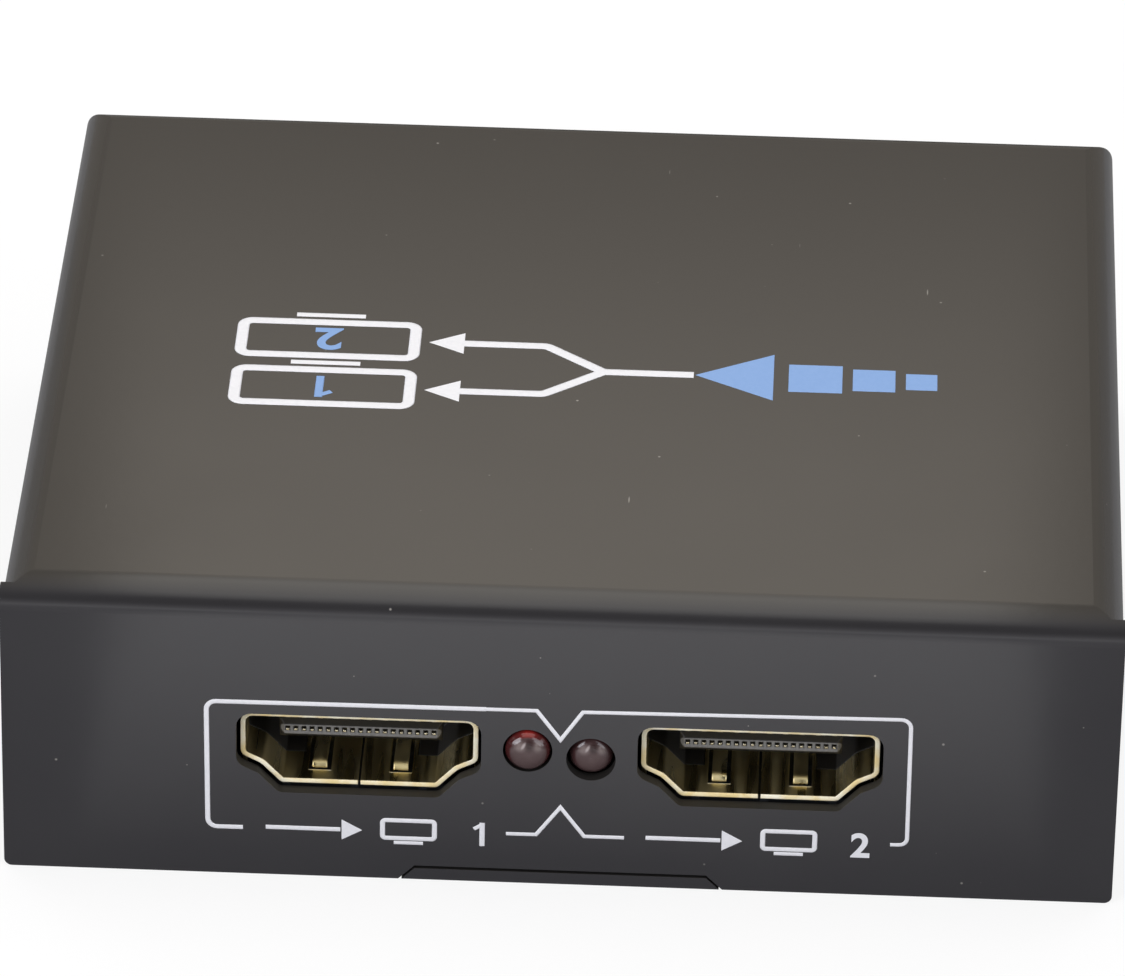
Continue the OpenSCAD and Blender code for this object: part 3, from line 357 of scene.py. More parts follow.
# Partly painted highlight: the sheared rim and the burr are pale gold to near white.
pale = add(tree, "ShaderNodeMix", {"data_type": "RGBA"}, {
    0: torn.outputs[0], 6: linear("#f2da9c"), 7: linear("#fff9e0")})
tone = add(tree, "ShaderNodeMix", {"data_type": "RGBA"}, {
    0: sheared_highlight.outputs[0], 6: tone.outputs[2], 7: pale.outputs[2]})
gloss = add(tree, "ShaderNodeMix", {"data_type": "FLOAT"}, {
    0: sheared_highlight.outputs[0], 2: gloss.outputs[0], 3: 0.5})
metal = add(tree, "ShaderNodeMapRange", {}, {"Value": sheared_highlight.outputs[0], "To Min": 1.0, "To Max": 0.0})
tumbled = add(tree, "ShaderNodeBevel", {"samples": 8}, {"Radius": tumble_radius})
skin = add(tree, "ShaderNodeBump", {}, {
    "Strength": 0.25, "Distance": line_height, "Height": lines.outputs["Fac"], "Normal": tumbled.outputs[0]})
surface = add(tree, "ShaderNodeBsdfPrincipled", {}, {
    "Base Color": tone.outputs[2], "Metallic": metal.outputs[0], "Roughness": gloss.outputs[0],
    "Normal": skin.outputs[0]})
add(tree, "ShaderNodeOutputMaterial", {}, {"Surface": surface.outputs[0]})
dress(gold_flash, "output_1_shell", "output_2_shell", "input_shell")

# Picture sockets: insulators
# A black glass-filled block moulded with the blade that carries the contacts; the blade's flat nose is
# painted a paler grey, so it reads as a grey bar with round ends inside the dark shell.
# Glass-filled plastic: brownish black with short flecks of about 0.15 mm, half-gloss.
fibre_width = 0.15 * MM
blade_up = 2.93 * MM
nose_reach = 4.62 * MM
nose_half = 0.35 * MM
nose_soft = 0.05 * MM
nose_deep = 0.35 * MM
moulded_radius = 0.1 * MM
sockets = ("output_1", "output_2", "input")
for socket in sockets:
    low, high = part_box(socket + "_insulator")
    nose_y = max(-low.y, high.y)
    glass_filled, tree, place = start("glass_filled_black_plastic_" + socket)
    fleck = add(tree, "ShaderNodeTexNoise", {}, {"Vector": place, "Scale": 1 / fibre_width, "Detail": 3.0})
    body = add(tree, "ShaderNodeMix", {"data_type": "RGBA"}, {
        0: fleck.outputs["Fac"], 6: linear("#1f1d1a"), 7: linear("#2c2a26")})
    grey_nose = add(tree, "ShaderNodeMix", {"data_type": "RGBA"}, {
        0: fleck.outputs["Fac"], 6: linear("#5a5957"), 7: linear("#878581")})
    centred = add(tree, "ShaderNodeMapping", {}, {
        "Vector": place, "Location": (-(low.x + high.x) / 2, 0, -low.z - blade_up)})
    axes = add(tree, "ShaderNodeSeparateXYZ", {}, {0: centred.outputs[0]})
    aside = add(tree, "ShaderNodeMath", {"operation": "ABSOLUTE"}, {0: axes.outputs["X"]})
    beyond = add(tree, "ShaderNodeMath", {"operation": "SUBTRACT", "use_clamp": True}, {
        0: aside.outputs[0], 1: nose_reach})
    off_bar = add(tree, "ShaderNodeCombineXYZ", {}, {"X": beyond.outputs[0], "Z": axes.outputs["Z"]})
    out = add(tree, "ShaderNodeVectorMath", {"operation": "LENGTH"}, {0: off_bar.outputs[0]})
    bar = add(tree, "ShaderNodeMapRange", {}, {
        "Value": out.outputs["Value"], "From Min": nose_half - nose_soft, "From Max": nose_half,
        "To Min": 1.0, "To Max": 0.0})
    depth = add(tree, "ShaderNodeMath", {"operation": "ABSOLUTE"}, {0: axes.outputs["Y"]})
    in_front = add(tree, "ShaderNodeMath", {"operation": "GREATER_THAN"}, {
        0: depth.outputs[0], 1: nose_y - nose_deep})
    nose = add(tree, "ShaderNodeMath", {"operation": "MULTIPLY"}, {
        0: bar.outputs[0], 1: in_front.outputs[0]})
    tone = add(tree, "ShaderNodeMix", {"data_type": "RGBA"}, {
        0: nose.outputs[0], 6: body.outputs[2], 7: grey_nose.outputs[2]})
    soft_edge = add(tree, "ShaderNodeBevel", {"samples": 6}, {"Radius": moulded_radius})
    surface = add(tree, "ShaderNodeBsdfPrincipled", {}, {
        "Base Color": tone.outputs[2], "Roughness": 0.36, "Specular IOR Level": 0.45,
        "Normal": soft_edge.outputs[0]})
    add(tree, "ShaderNodeOutputMaterial", {}, {"Surface": surface.outputs[0]})
    dress(glass_filled, socket + "_insulator")

# Picture sockets: contacts
# Nineteen sprung strips of gold-plated bronze lie in the blade; their sheared tips show as bright points in
# the pits of the blade's nose, so each tip is a small rounded peg standing in the lower half of its pit.
# Contact gold: a fuller, smoother gold than the shell's, with polish marks of about 0.1 mm.
contact_gold = cloudy_metal(
    "gold_plated_bronze", width=0.1 * MM, detail=2.0, dark="#eddcae", pale="#fbf5e0", smooth=0.15, rough=0.3)
dress(contact_gold, "output_1_contacts", "output_2_contacts", "input_contacts")

tip_count = 19
tip_pitch = 0.5 * MM
tip_size = (0.2 * MM, 0.3 * MM, 0.14 * MM)
tip_round = 0.05 * MM
tip_back = 0.15 * MM
tip_up = 2.89 * MM
bpy.ops.object.select_all(action="DESELECT")
bpy.ops.mesh.primitive_cube_add(size=1, location=(0, 0, 0))
tip = bpy.context.object
tip.scale = tip_size
bpy.ops.object.transform_apply(location=False, rotation=False, scale=True)
bpy.ops.object.mode_set(mode="EDIT")
bpy.ops.mesh.select_all(action="SELECT")
bpy.ops.mesh.bevel(offset=tip_round, offset_type="OFFSET", segments=2, affect="EDGES")
bpy.ops.object.mode_set(mode="OBJECT")
bpy.ops.object.shade_smooth_by_angle(angle=math.radians(40))
row = tip.modifiers.new("row", "ARRAY")
row.use_relative_offset = False
row.use_constant_offset = True
row.constant_offset_displace = (tip_pitch, 0, 0)
row.count = tip_count
bpy.ops.object.modifier_apply(modifier="row")
tip.data.materials.append(contact_gold)
for socket in sockets:
    low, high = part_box(socket + "_insulator")
    nose_y = low.y + tip_back if low.y < 0 else high.y - tip_back
    bpy.ops.object.select_all(action="DESELECT")
    tips = tip.copy()
    tips.data = tip.data.copy()
    tips.name = socket + "_contact_tips"
    bpy.context.collection.objects.link(tips)
    tips.location = ((low.x + high.x) / 2 - (tip_count - 1) / 2 * tip_pitch, nose_y, low.z + tip_up)
    bpy.context.view_layer.objects.active = tips
    tips.select_set(True)
    bpy.ops.object.transform_apply(location=True, rotation=False, scale=False)
    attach(tips, "root")
bpy.data.objects.remove(tip)

# Lamps
# Two 3 mm signal lamps cast in red tinted epoxy. The domed nose enlarges the plated cup inside to a pale
# disc, parted above by the dark lead post, with painted reflections of the softboxes at left and right and a
# painted highlight. Round it the resin is dark red, painted lighter red above on the left lamp as light from
# above and darker below as painted shade; on the right lamp it is painted lighter, most of all below, where
# it lies in shade.
# Cast epoxy: very smooth and glossy, with the disc's edge a little soft and faint flow marks of 0.5 mm.
flow_width = 0.5 * MM
disc_soft = (-0.06, 0.10)
# Where the painted top tone rises above the axis and how far it spreads, and where the painted lower tone
# begins.
painted_top_rise = (0.6 * MM, 1.35 * MM)
painted_top_spread = (0.1 * MM, 0.7 * MM)
painted_lower_band = (-0.2 * MM, -0.9 * MM)
# Soft spots on the disc: middle, half sizes, turn in degrees, strength and colour. The first two are painted
# reflections of the softboxes at left and right, the third the dark lead post, the last a painted highlight.
cup_and_highlight_spots = (
    ((-0.52, 0.55), (0.50, 0.52), 0, 0.5, "#8a7c79"),
    ((0.60, 0.56), (0.42, 0.52), 0, 0.45, "#877b77"),
    ((0.07, 0.64), (0.42, 0.60), 0, 0.9, "#2a1616"),
    ((-0.30, 0.60), (0.14, 0.36), -28, 0.9, "#a79b99"))
for name, disc, off_middle, painted_top_tone, ring_side_tone, painted_lower_tone in (
        ("lamp_1_lens", 1.10, 0.05, "#82201c", "#3f1a1a", "#2a1817"),
        ("lamp_2_lens", 1.01, 0.08, "#382424", "#402929", "#463434")):
    low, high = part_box(name)
    middle = (low + high) / 2
    epoxy, tree, place = start("red_cast_epoxy_" + name[:6])
    centred = add(tree, "ShaderNodeMapping", {}, {
        "Vector": place, "Location": (-middle.x - off_middle * MM, 0, -middle.z)})
    axes = add(tree, "ShaderNodeSeparateXYZ", {}, {0: centred.outputs[0]})
    flat = add(tree, "ShaderNodeCombineXYZ", {}, {"X": axes.outputs["X"], "Y": axes.outputs["Z"]})
    out = add(tree, "ShaderNodeVectorMath", {"operation": "LENGTH"}, {0: flat.outputs[0]})
    flow = add(tree, "ShaderNodeTexNoise", {}, {"Vector": place, "Scale": 1 / flow_width, "Detail": 2.0})
    inside = add(tree, "ShaderNodeMix", {"data_type": "RGBA"}, {
        0: flow.outputs["Fac"], 6: linear("#483838"), 7: linear("#574746")})
    for (x, z), (wide, tall), turn, most, colour in cup_and_highlight_spots:
        spot = add(tree, "ShaderNodeMapping", {"vector_type": "TEXTURE"}, {
            "Vector": flat.outputs[0], "Location": (x * MM, z * MM, 0),
            "Rotation": (0, 0, math.radians(turn)), "Scale": (wide * MM, tall * MM, 1)})
        off = add(tree, "ShaderNodeVectorMath", {"operation": "LENGTH"}, {0: spot.outputs[0]})
        soft = add(tree, "ShaderNodeMapRange", {"interpolation_type": "SMOOTHSTEP"}, {
            "Value": off.outputs["Value"], "From Min": 0.15, "From Max": 1.0, "To Min": most, "To Max": 0.0})
        inside = add(tree, "ShaderNodeMix", {"data_type": "RGBA"}, {
            0: soft.outputs[0], 6: inside.outputs[2], 7: linear(colour)})
    # Painted light and shade on the ring: a top tone near the axis and a lower tone below.
    rise = add(tree, "ShaderNodeMapRange", {"interpolation_type": "SMOOTHSTEP"}, {
        "Value": axes.outputs["Z"], "From Min": painted_top_rise[0], "From Max": painted_top_rise[1]})
    off_axis = add(tree, "ShaderNodeMath", {"operation": "ABSOLUTE"}, {0: axes.outputs["X"]})
    near_axis = add(tree, "ShaderNodeMapRange", {"interpolation_type": "SMOOTHSTEP"}, {
        "Value": off_axis.outputs[0], "From Min": painted_top_spread[0], "From Max": painted_top_spread[1],
        "To Min": 1.0, "To Max": 0.25})
    glow = add(tree, "ShaderNodeMath", {"operation": "MULTIPLY"}, {
        0: rise.outputs[0], 1: near_axis.outputs[0]})
    sink = add(tree, "ShaderNodeMapRange", {"interpolation_type": "SMOOTHSTEP"}, {
        "Value": axes.outputs["Z"], "From Min": painted_lower_band[0], "From Max": painted_lower_band[1]})
    lower = add(tree, "ShaderNodeMix", {"data_type": "RGBA"}, {
        0: sink.outputs[0], 6: linear(ring_side_tone), 7: linear(painted_lower_tone)})
    ring = add(tree, "ShaderNodeMix", {"data_type": "RGBA"}, {
        0: glow.outputs[0], 6: lower.outputs[2], 7: linear(painted_top_tone)})
    edge = add(tree, "ShaderNodeMapRange", {"interpolation_type": "SMOOTHSTEP"}, {
        "Value": out.outputs["Value"],
        "From Min": (disc + disc_soft[0]) * MM, "From Max": (disc + disc_soft[1]) * MM})
    tone = add(tree, "ShaderNodeMix", {"data_type": "RGBA"}, {
        0: edge.outputs[0], 6: inside.outputs[2], 7: ring.outputs[2]})
    surface = add(tree, "ShaderNodeBsdfPrincipled", {}, {
        "Base Color": tone.outputs[2], "Roughness": 0.12, "IOR": 1.54})
    add(tree, "ShaderNodeOutputMaterial", {}, {"Surface": surface.outputs[0]})
    dress(epoxy, name)

# Power jack
# A round low-voltage jack moulded in black polyester, soldered to the board behind a hole in the rear wall,
# with a turned nickel pin on its axis and a sprung side contact of the same metal.
dress(polyester, "jack_body")
dress(nickel, "jack_pin", "jack_spring")

# Cover
# The upper half of the case, folded from one steel sheet with its corners left as butt seams, enamelled with
# the base plate and screwed to it from both sides. The print below is screened on after baking.
dress(baked_enamel, "top_cover")

# Front print
# A line frame screened in white ink round both outputs and the lamps, dipping to a point between the lamps,
# with a plain mark under each output: an arrow, a screen and the output's number.
ink_film = 0.03
front_y = -cad_high.y
front_wall = Matrix.Translation((0, front_y, 0)) @ Matrix.Rotation(math.pi / 2, 4, "X")
arc_steps = 6
longest_share = 0.45
cap_share = 0.70
bolder_share = 0.035


def rounded(points, radius, closed=False):
    """The same line with its corners turned into short arcs of that radius, in mm."""
    made = []
    count = len(points)
    for i, point in enumerate(points):
        if not closed and i in (0, count - 1):
            made.append(Vector(point))
            continue
        here = Vector(point)
        back = Vector(points[i - 1]) - here
        on = Vector(points[(i + 1) % count]) - here
        half = back.angle(on) / 2
        reach = min(radius / math.tan(half), back.length * longest_share, on.length * longest_share)
        back.normalize()
        on.normalize()
        centre = here + (back + on).normalized() * (reach / math.cos(half))
        first = here + back * reach - centre
        last = here + on * reach - centre
        for step in range(arc_steps + 1):
            made.append(centre + first.slerp(last, step / arc_steps).normalized() * first.length)
    return made


def ink_line(points, width, closed=False):
    """One stroke of ink in the XY plane with mitred corners, drawn as a curve and pressed flat, in mm."""
    bpy.ops.object.select_all(action="DESELECT")
    bpy.ops.curve.primitive_bezier_curve_add(location=(0, 0, 0))
    stroke = bpy.context.object
    stroke.data.splines.clear()
    spline = stroke.data.splines.new("POLY")
    spline.points.add(len(points) - 1)
    for i, (knot, point) in enumerate(zip(spline.points, points)):
        knot.co = (point[0] * MM, point[1] * MM, 0, 1)
        if closed or 0 < i < len(points) - 1:
            back = Vector(points[i - 1]) - Vector(point)
            on = Vector(points[(i + 1) % len(points)]) - Vector(point)
            knot.radius = 1 / math.sin(back.angle(on) / 2)
    spline.use_cyclic_u = closed
    stroke.data.bevel_depth = width / 2 * MM
    stroke.data.bevel_resolution = 2
    stroke.data.use_fill_caps = True
    bpy.ops.object.convert(target="MESH")
    stroke.scale = (1, 1, ink_film / width)
    bpy.ops.object.transform_apply(location=False, rotation=False, scale=True)
    return stroke


def ink_patch(sides, radius, centre, turn, corner):
    """A filled even-sided patch of ink in the XY plane with its corners rounded, in mm and degrees."""
    bpy.ops.object.select_all(action="DESELECT")
    bpy.ops.mesh.primitive_cylinder_add(
        vertices=sides, radius=radius * MM, depth=ink_film * MM, location=(0, 0, 0))
    patch = bpy.context.object
    bpy.ops.object.mode_set(mode="EDIT")
    bpy.ops.mesh.select_all(action="SELECT")
    bpy.ops.mesh.bevel(
        offset=corner * MM, offset_type="OFFSET", segments=1, affect="EDGES", clamp_overlap=True)
    bpy.ops.object.mode_set(mode="OBJECT")
    patch.rotation_euler = (0, 0, math.radians(turn))
    patch.location = (centre[0] * MM, centre[1] * MM, 0)
    bpy.ops.object.transform_apply(location=True, rotation=True, scale=False)
    return patch


def ink_number(figure, height, centre):
    """A plain numeral in ink in the XY plane, made a mesh, in mm."""
    bpy.ops.object.select_all(action="DESELECT")
    bpy.ops.object.text_add(location=(0, 0, 0))
    numeral = bpy.context.object
    numeral.data.body = figure
    numeral.data.size = height / cap_share * MM
    numeral.data.offset = bolder_share * height * MM
    numeral.data.extrude = ink_film / 2 * MM
    bpy.ops.object.convert(target="MESH")
    corners = [Vector(c) for c in numeral.bound_box]
    middle = (corners[0] + corners[6]) / 2
    numeral.location = (centre[0] * MM - middle.x, centre[1] * MM - middle.y, -middle.z)
    bpy.ops.object.transform_apply(location=True, rotation=False, scale=False)
    return numeral


def ink_figures(figure, height, centre):
    """The inked parts of a numeral; the figure one is drawn with its flag, in shares of its height."""
    if figure != "1":
        return [ink_number(figure, height, centre)]
    x = centre[0] + 0.08 * height
    y = centre[1]
    stem = [(x, y - height / 2), (x, y + height / 2)]
    flag = [(x + 0.03 * height, y + 0.43 * height), (x - 0.3 * height, y + 0.22 * height)]
    return [ink_line(stem, 0.2 * height), ink_line(flag, 0.16 * height)]


def print_on(wall, name, parts, ink):
    """Joins the inked parts to one piece and lays it on a wall of the cover."""
    bpy.ops.object.select_all(action="DESELECT")
    for part in parts:
        part.select_set(True)
    bpy.context.view_layer.objects.active = parts[0]
    if len(parts) > 1:
        bpy.ops.object.join()
    piece = bpy.context.object
    piece.name = name
    piece.matrix_world = wall
    bpy.ops.object.transform_apply(location=True, rotation=True, scale=True)
    piece.data.materials.clear()
    piece.data.materials.append(ink)
    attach(piece, "root")


# Screen ink: an opaque film about 0.015 mm proud, matt, with the mesh of the screen leaving its colour
# slightly uneven over about 0.25 mm, drawn as coarse as it needs to show.
screen_mesh = 0.25 * MM
inks = {}
for name, thin, full in (
        ("white_screen_ink", "#dcdcdf", "#ecebed"),
        ("pale_blue_screen_ink", "#7a9dcf", "#84a5d5")):
    ink, tree, place = start(name)
    mesh_mark = add(tree, "ShaderNodeTexNoise", {}, {
        "Vector": place, "Scale": 1 / screen_mesh, "Detail": 2.0})
    tone = add(tree, "ShaderNodeMix", {"data_type": "RGBA"}, {
        0: mesh_mark.outputs["Fac"], 6: linear(thin), 7: linear(full)})
    surface = add(tree, "ShaderNodeBsdfPrincipled", {}, {"Base Color": tone.outputs[2], "Roughness": 0.55})
    add(tree, "ShaderNodeOutputMaterial", {}, {"Surface": surface.outputs[0]})
    inks[name] = ink

thick_line = 0.32
thin_line = 0.265
frame_corner = 0.6
left_end = [(-19.41, 3.38), (-21.57, 3.37), (-21.63, 12.49), (-4.5, 12.58)]
upper_dip = [(-4.6, 12.58), (-1.41, 12.60), (0.06, 10.53), (1.41, 12.60), (3.0, 12.62)]
right_end = [(5.0, 12.645), (21.43, 12.85), (21.46, 3.76), (20.43, 3.74)]
lower_peak = [(-3.19, 3.57), (-1.34, 3.58), (0.13, 5.63), (1.61, 3.57), (4.07, 3.57)]
print_on(front_wall, "front_print_frame", [
    ink_line(rounded(left_end, frame_corner), thick_line),
    ink_line(upper_dip + rounded(right_end, frame_corner), thin_line),
    ink_line(lower_peak, thin_line)], inks["white_screen_ink"])

mark_line = 0.32
foot_line = 0.26
shaft_length = 4.6
for name, figure, left, middle in (
        ("front_print_output_1", "1", -18.0, 3.46),
        ("front_print_output_2", "2", 5.4, 3.62)):
    shaft = [(left, middle), (left + shaft_length, middle)]
    head_at = (left + 5.1, middle)
    screen = [(left + 7.2, middle - 0.5), (left + 10.4, middle - 0.5),
              (left + 10.4, middle + 0.8), (left + 7.2, middle + 0.8)]
    foot = [(left + 7.9, middle - 0.82), (left + 9.7, middle - 0.82)]
    figure_at = (left + 13.2, middle)
    print_on(front_wall, name, [
        ink_line(shaft, mark_line),
        ink_patch(3, 0.85, head_at, -90, 0.06),
        ink_line(rounded(screen, 0.2, True), mark_line, True),
        ink_line(foot, foot_line),
        *ink_figures(figure, 1.7, figure_at)], inks["white_screen_ink"])

# Top print
# A pictogram of what the box does, screened in white and pale blue and read from the rear: squares running
# into an arrow, a line that forks, and two numbered screens.
top_wall = Matrix.Translation((0, 0, cad_high.z)) @ Matrix.Rotation(math.pi, 4, "Z")
fork_line = 0.75
fork_bend = 0.8
fork_x = -1.5
stand_line = 0.5
stand_drop = 0.9
screen_left = 10.6
screen_right = 21.6
screen_half = 2.1
screen_corner = 0.6
screen_middle = (screen_left + screen_right) / 2
stand_half = 2.2
head_radius = 1.5
head_x = 8.2
figure_height = 2.6
signal_y = 2.6
branch_heights = (5.6, -0.4)
fork_parts = [ink_line([(-7.2, signal_y), (fork_x, signal_y)], fork_line)]
signal_parts = []
for radius, square_x in ((1.4, -21.6), (1.9, -18.6), (2.4, -14.9)):
    signal_parts.append(ink_patch(4, radius, (square_x, signal_y), 45, 0.1))
signal_parts.append(ink_patch(3, 3.3, (-10.6, signal_y), -90, 0.12))
for figure, branch_y in zip("12", branch_heights):
    bottom = branch_y - screen_half
    top = branch_y + screen_half
    screen = [(screen_left, bottom), (screen_right, bottom), (screen_right, top), (screen_left, top)]
    stand_y = bottom - stand_drop
    stand = [(screen_middle - stand_half, stand_y), (screen_middle + stand_half, stand_y)]
    fork_parts += [
        ink_line(rounded([(fork_x, signal_y), (2.2, branch_y), (8.0, branch_y)], fork_bend), fork_line),
        ink_line(rounded(screen, screen_corner, True), fork_line, True),
        ink_line(stand, stand_line),
        ink_patch(3, head_radius, (head_x, branch_y), -90, 0.08)]
    signal_parts += ink_figures(figure, figure_height, (screen_middle, branch_y))
print_on(top_wall, "top_print_fork", fork_parts, inks["white_screen_ink"])
print_on(top_wall, "top_print_signal", signal_parts, inks["pale_blue_screen_ink"])

# Side screws
# Four countersunk screws with cross recesses through the cover's sides into the base plate, blackened steel.
# Black oxide: a dark, oily metal, a little worn to grey in spots of about 0.6 mm.
wear_width = 0.6 * MM
black_oxide, tree, place = start("black_oxide_steel")
wear = add(tree, "ShaderNodeTexNoise", {}, {"Vector": place, "Scale": 1 / wear_width, "Detail": 4.0})
worn = add(tree, "ShaderNodeMapRange", {}, {"Value": wear.outputs["Fac"], "From Min": 0.55, "From Max": 0.8})
tone = add(tree, "ShaderNodeMix", {"data_type": "RGBA"}, {
    0: worn.outputs[0], 6: linear("#343436"), 7: linear("#6d6d70")})
gloss = add(tree, "ShaderNodeMapRange", {}, {"Value": wear.outputs["Fac"], "To Min": 0.28, "To Max": 0.46})
surface = add(tree, "ShaderNodeBsdfPrincipled", {}, {
    "Base Color": tone.outputs[2], "Metallic": 1.0, "Roughness": gloss.outputs[0]})
add(tree, "ShaderNodeOutputMaterial", {}, {"Surface": surface.outputs[0]})
dress(black_oxide, "side_screws")

# Floor
# A wide floor that takes the box's soft shadow and shows the camera mostly plain white. What the box mirrors
# is a grey table with a narrow sheet of white paper in front, painted dark next to the box as its shadow,
# white from about 30 mm out and greying farther on, which lights up the upper middle of the front, grey
# sheets beside the box, and the white floor beyond the table's front and sides.
floor_size = 8
floor_drop = 0.02 * MM
paper_half = 30 * MM
painted_shadow_from = front_y - 3 * MM
painted_shadow_to = front_y - 30 * MM
paper_fade = front_y - 32 * MM
paper_far = front_y - 80 * MM
side_sheet_in = 42 * MM
side_sheet_front = -20 * MM
side_sheet_level = 0.26
table_reach = 250 * MM
table_rear = 100 * MM
own_light = 0.8
bpy.ops.object.select_all(action="DESELECT")
bpy.ops.mesh.primitive_plane_add(size=floor_size, location=(0, 0, -floor_drop))
floor = bpy.context.object
floor.name = "studio_floor"
floor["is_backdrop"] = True
white_board, tree, place = start("white_paper_on_grey_table")
axes = add(tree, "ShaderNodeSeparateXYZ", {}, {0: place})
across = add(tree, "ShaderNodeMath", {"operation": "COMPARE"}, {0: axes.outputs["X"], 1: 0.0, 2: paper_half})
# Painted shadow: the paper is dark next to the box and white from about 30 mm out.
along = add(tree, "ShaderNodeMapRange", {}, {
    "Value": axes.outputs["Y"], "From Min": painted_shadow_from, "From Max": painted_shadow_to})
away = add(tree, "ShaderNodeMapRange", {}, {
    "Value": axes.outputs["Y"], "From Min": paper_fade, "From Max": paper_far,
    "To Min": 1.0, "To Max": 0.25})
length = add(tree, "ShaderNodeMath", {"operation": "MULTIPLY"}, {0: along.outputs[0], 1: away.outputs[0]})
paper = add(tree, "ShaderNodeMath", {"operation": "MULTIPLY"}, {0: across.outputs[0], 1: length.outputs[0]})
aside = add(tree, "ShaderNodeMath", {"operation": "ABSOLUTE"}, {0: axes.outputs["X"]})
beside = add(tree, "ShaderNodeMath", {"operation": "GREATER_THAN"}, {0: aside.outputs[0], 1: side_sheet_in})
back = add(tree, "ShaderNodeMath", {"operation": "GREATER_THAN"}, {
    0: axes.outputs["Y"], 1: side_sheet_front})
strips = add(tree, "ShaderNodeMath", {"operation": "MULTIPLY"}, {0: beside.outputs[0], 1: back.outputs[0]})
dimmed = add(tree, "ShaderNodeMath", {"operation": "MULTIPLY"}, {0: strips.outputs[0], 1: side_sheet_level})
papers = add(tree, "ShaderNodeMath", {"operation": "MAXIMUM"}, {0: paper.outputs[0], 1: dimmed.outputs[0]})
ray = add(tree, "ShaderNodeLightPath")
direct = add(tree, "ShaderNodeMath", {"operation": "MAXIMUM"}, {
    0: ray.outputs["Is Camera Ray"], 1: ray.outputs["Is Transmission Ray"]})
reach = add(tree, "ShaderNodeVectorMath", {"operation": "LENGTH"}, {0: place})
far_off = add(tree, "ShaderNodeMath", {"operation": "GREATER_THAN"}, {
    0: reach.outputs["Value"], 1: table_reach})
not_behind = add(tree, "ShaderNodeMath", {"operation": "LESS_THAN"}, {0: axes.outputs["Y"], 1: table_rear})
past_table = add(tree, "ShaderNodeMath", {"operation": "MULTIPLY"}, {
    0: far_off.outputs[0], 1: not_behind.outputs[0]})
mirrored = add(tree, "ShaderNodeMath", {"operation": "MULTIPLY"}, {
    0: ray.outputs["Is Glossy Ray"], 1: past_table.outputs[0]})
plain = add(tree, "ShaderNodeMath", {"operation": "MAXIMUM"}, {
    0: direct.outputs[0], 1: mirrored.outputs[0]})
pale = add(tree, "ShaderNodeMath", {"operation": "MAXIMUM"}, {0: papers.outputs[0], 1: plain.outputs[0]})
sheet = add(tree, "ShaderNodeMix", {"data_type": "RGBA"}, {
    0: pale.outputs[0], 6: linear("#4a4a4a"), 7: linear("#f6f6f6")})
matt = add(tree, "ShaderNodeBsdfDiffuse", {}, {"Color": sheet.outputs[2]})
glow = add(tree, "ShaderNodeEmission", {}, {"Color": linear("#ffffff"), "Strength": 1.0})
seen = add(tree, "ShaderNodeMath", {"operation": "MULTIPLY"}, {0: plain.outputs[0], 1: own_light})
both = add(tree, "ShaderNodeMixShader", {}, {0: seen.outputs[0], 1: matt.outputs[0], 2: glow.outputs[0]})
add(tree, "ShaderNodeOutputMaterial", {}, {"Surface": both.outputs[0]})
floor.data.materials.append(white_board)

# Reflector card
# The same paper turned up behind the box, out of the picture. Its foot lies in the box's shadow, so the top
# face mirrors it darker at the rear and paler toward the front, and its ends are an even grey for the top's
# side edges.
card_place = (-2 * MM, 75 * MM, 85 * MM)
card_size = (132 * MM, 130 * MM)
card_rise = (35 * MM, 85 * MM)
card_levels = (0.29, 1.1)
card_end = (31 * MM, 40 * MM)
card_end_level = 0.3


def hang(name, size, spot, turn):
    """A sheet of lit paper that the part mirrors. It casts no shadow and isn't in the picture."""
    bpy.ops.object.select_all(action="DESELECT")
    bpy.ops.mesh.primitive_plane_add(size=1, location=spot, rotation=(turn, 0, 0))
    hung = bpy.context.object
    hung.name = name
    hung.scale = (size[0], size[1], 1)
    bpy.ops.object.transform_apply(location=True, rotation=True, scale=True)
    hung.visible_camera = False
    hung.visible_diffuse = False
    hung.visible_shadow = False
    return hung


card = hang("reflector_card", card_size, card_place, math.pi / 2)
card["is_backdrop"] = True
lit_paper, tree, place = start("lit_white_paper")
axes = add(tree, "ShaderNodeSeparateXYZ", {}, {0: place})
height = add(tree, "ShaderNodeMapRange", {"interpolation_type": "SMOOTHSTEP"}, {
    "Value": axes.outputs["Z"], "From Min": card_rise[0], "From Max": card_rise[1],
    "To Min": card_levels[0], "To Max": card_levels[1]})
middle_x = add(tree, "ShaderNodeMath", {"operation": "SUBTRACT"}, {0: axes.outputs["X"], 1: card_place[0]})
aside = add(tree, "ShaderNodeMath", {"operation": "ABSOLUTE"}, {0: middle_x.outputs[0]})
level = add(tree, "ShaderNodeMapRange", {"interpolation_type": "SMOOTHSTEP"}, {
    "Value": aside.outputs[0], "From Min": card_end[0], "From Max": card_end[1],
    "To Min": height.outputs[0], "To Max": card_end_level})
glow = add(tree, "ShaderNodeEmission", {}, {"Color": linear("#fff6ea"), "Strength": level.outputs[0]})
add(tree, "ShaderNodeOutputMaterial", {}, {"Surface": glow.outputs[0]})
card.data.materials.append(lit_paper)

# Overhead sheet
# The same paper carried on above the box, lit only as wide as the box and fading to grey at its sides, so
# the rounded front bend mirrors it in the middle and darkens toward both ends.
sheet_place = (-1.3 * MM, -39 * MM, 65 * MM)
sheet_size = (200 * MM, 98 * MM)
# Places from front to rear in mm, each with the sheet's level there.
sheet_levels = ((-88, 0.0), (-74, 0.8), (-59, 1.3), (-47, 1.3), (-35, 1.5), (-12, 1.7), (10, 0.9))
sheet_full = 2.0
sheet_end = (29 * MM, 32 * MM)
sheet_end_share = 0.05


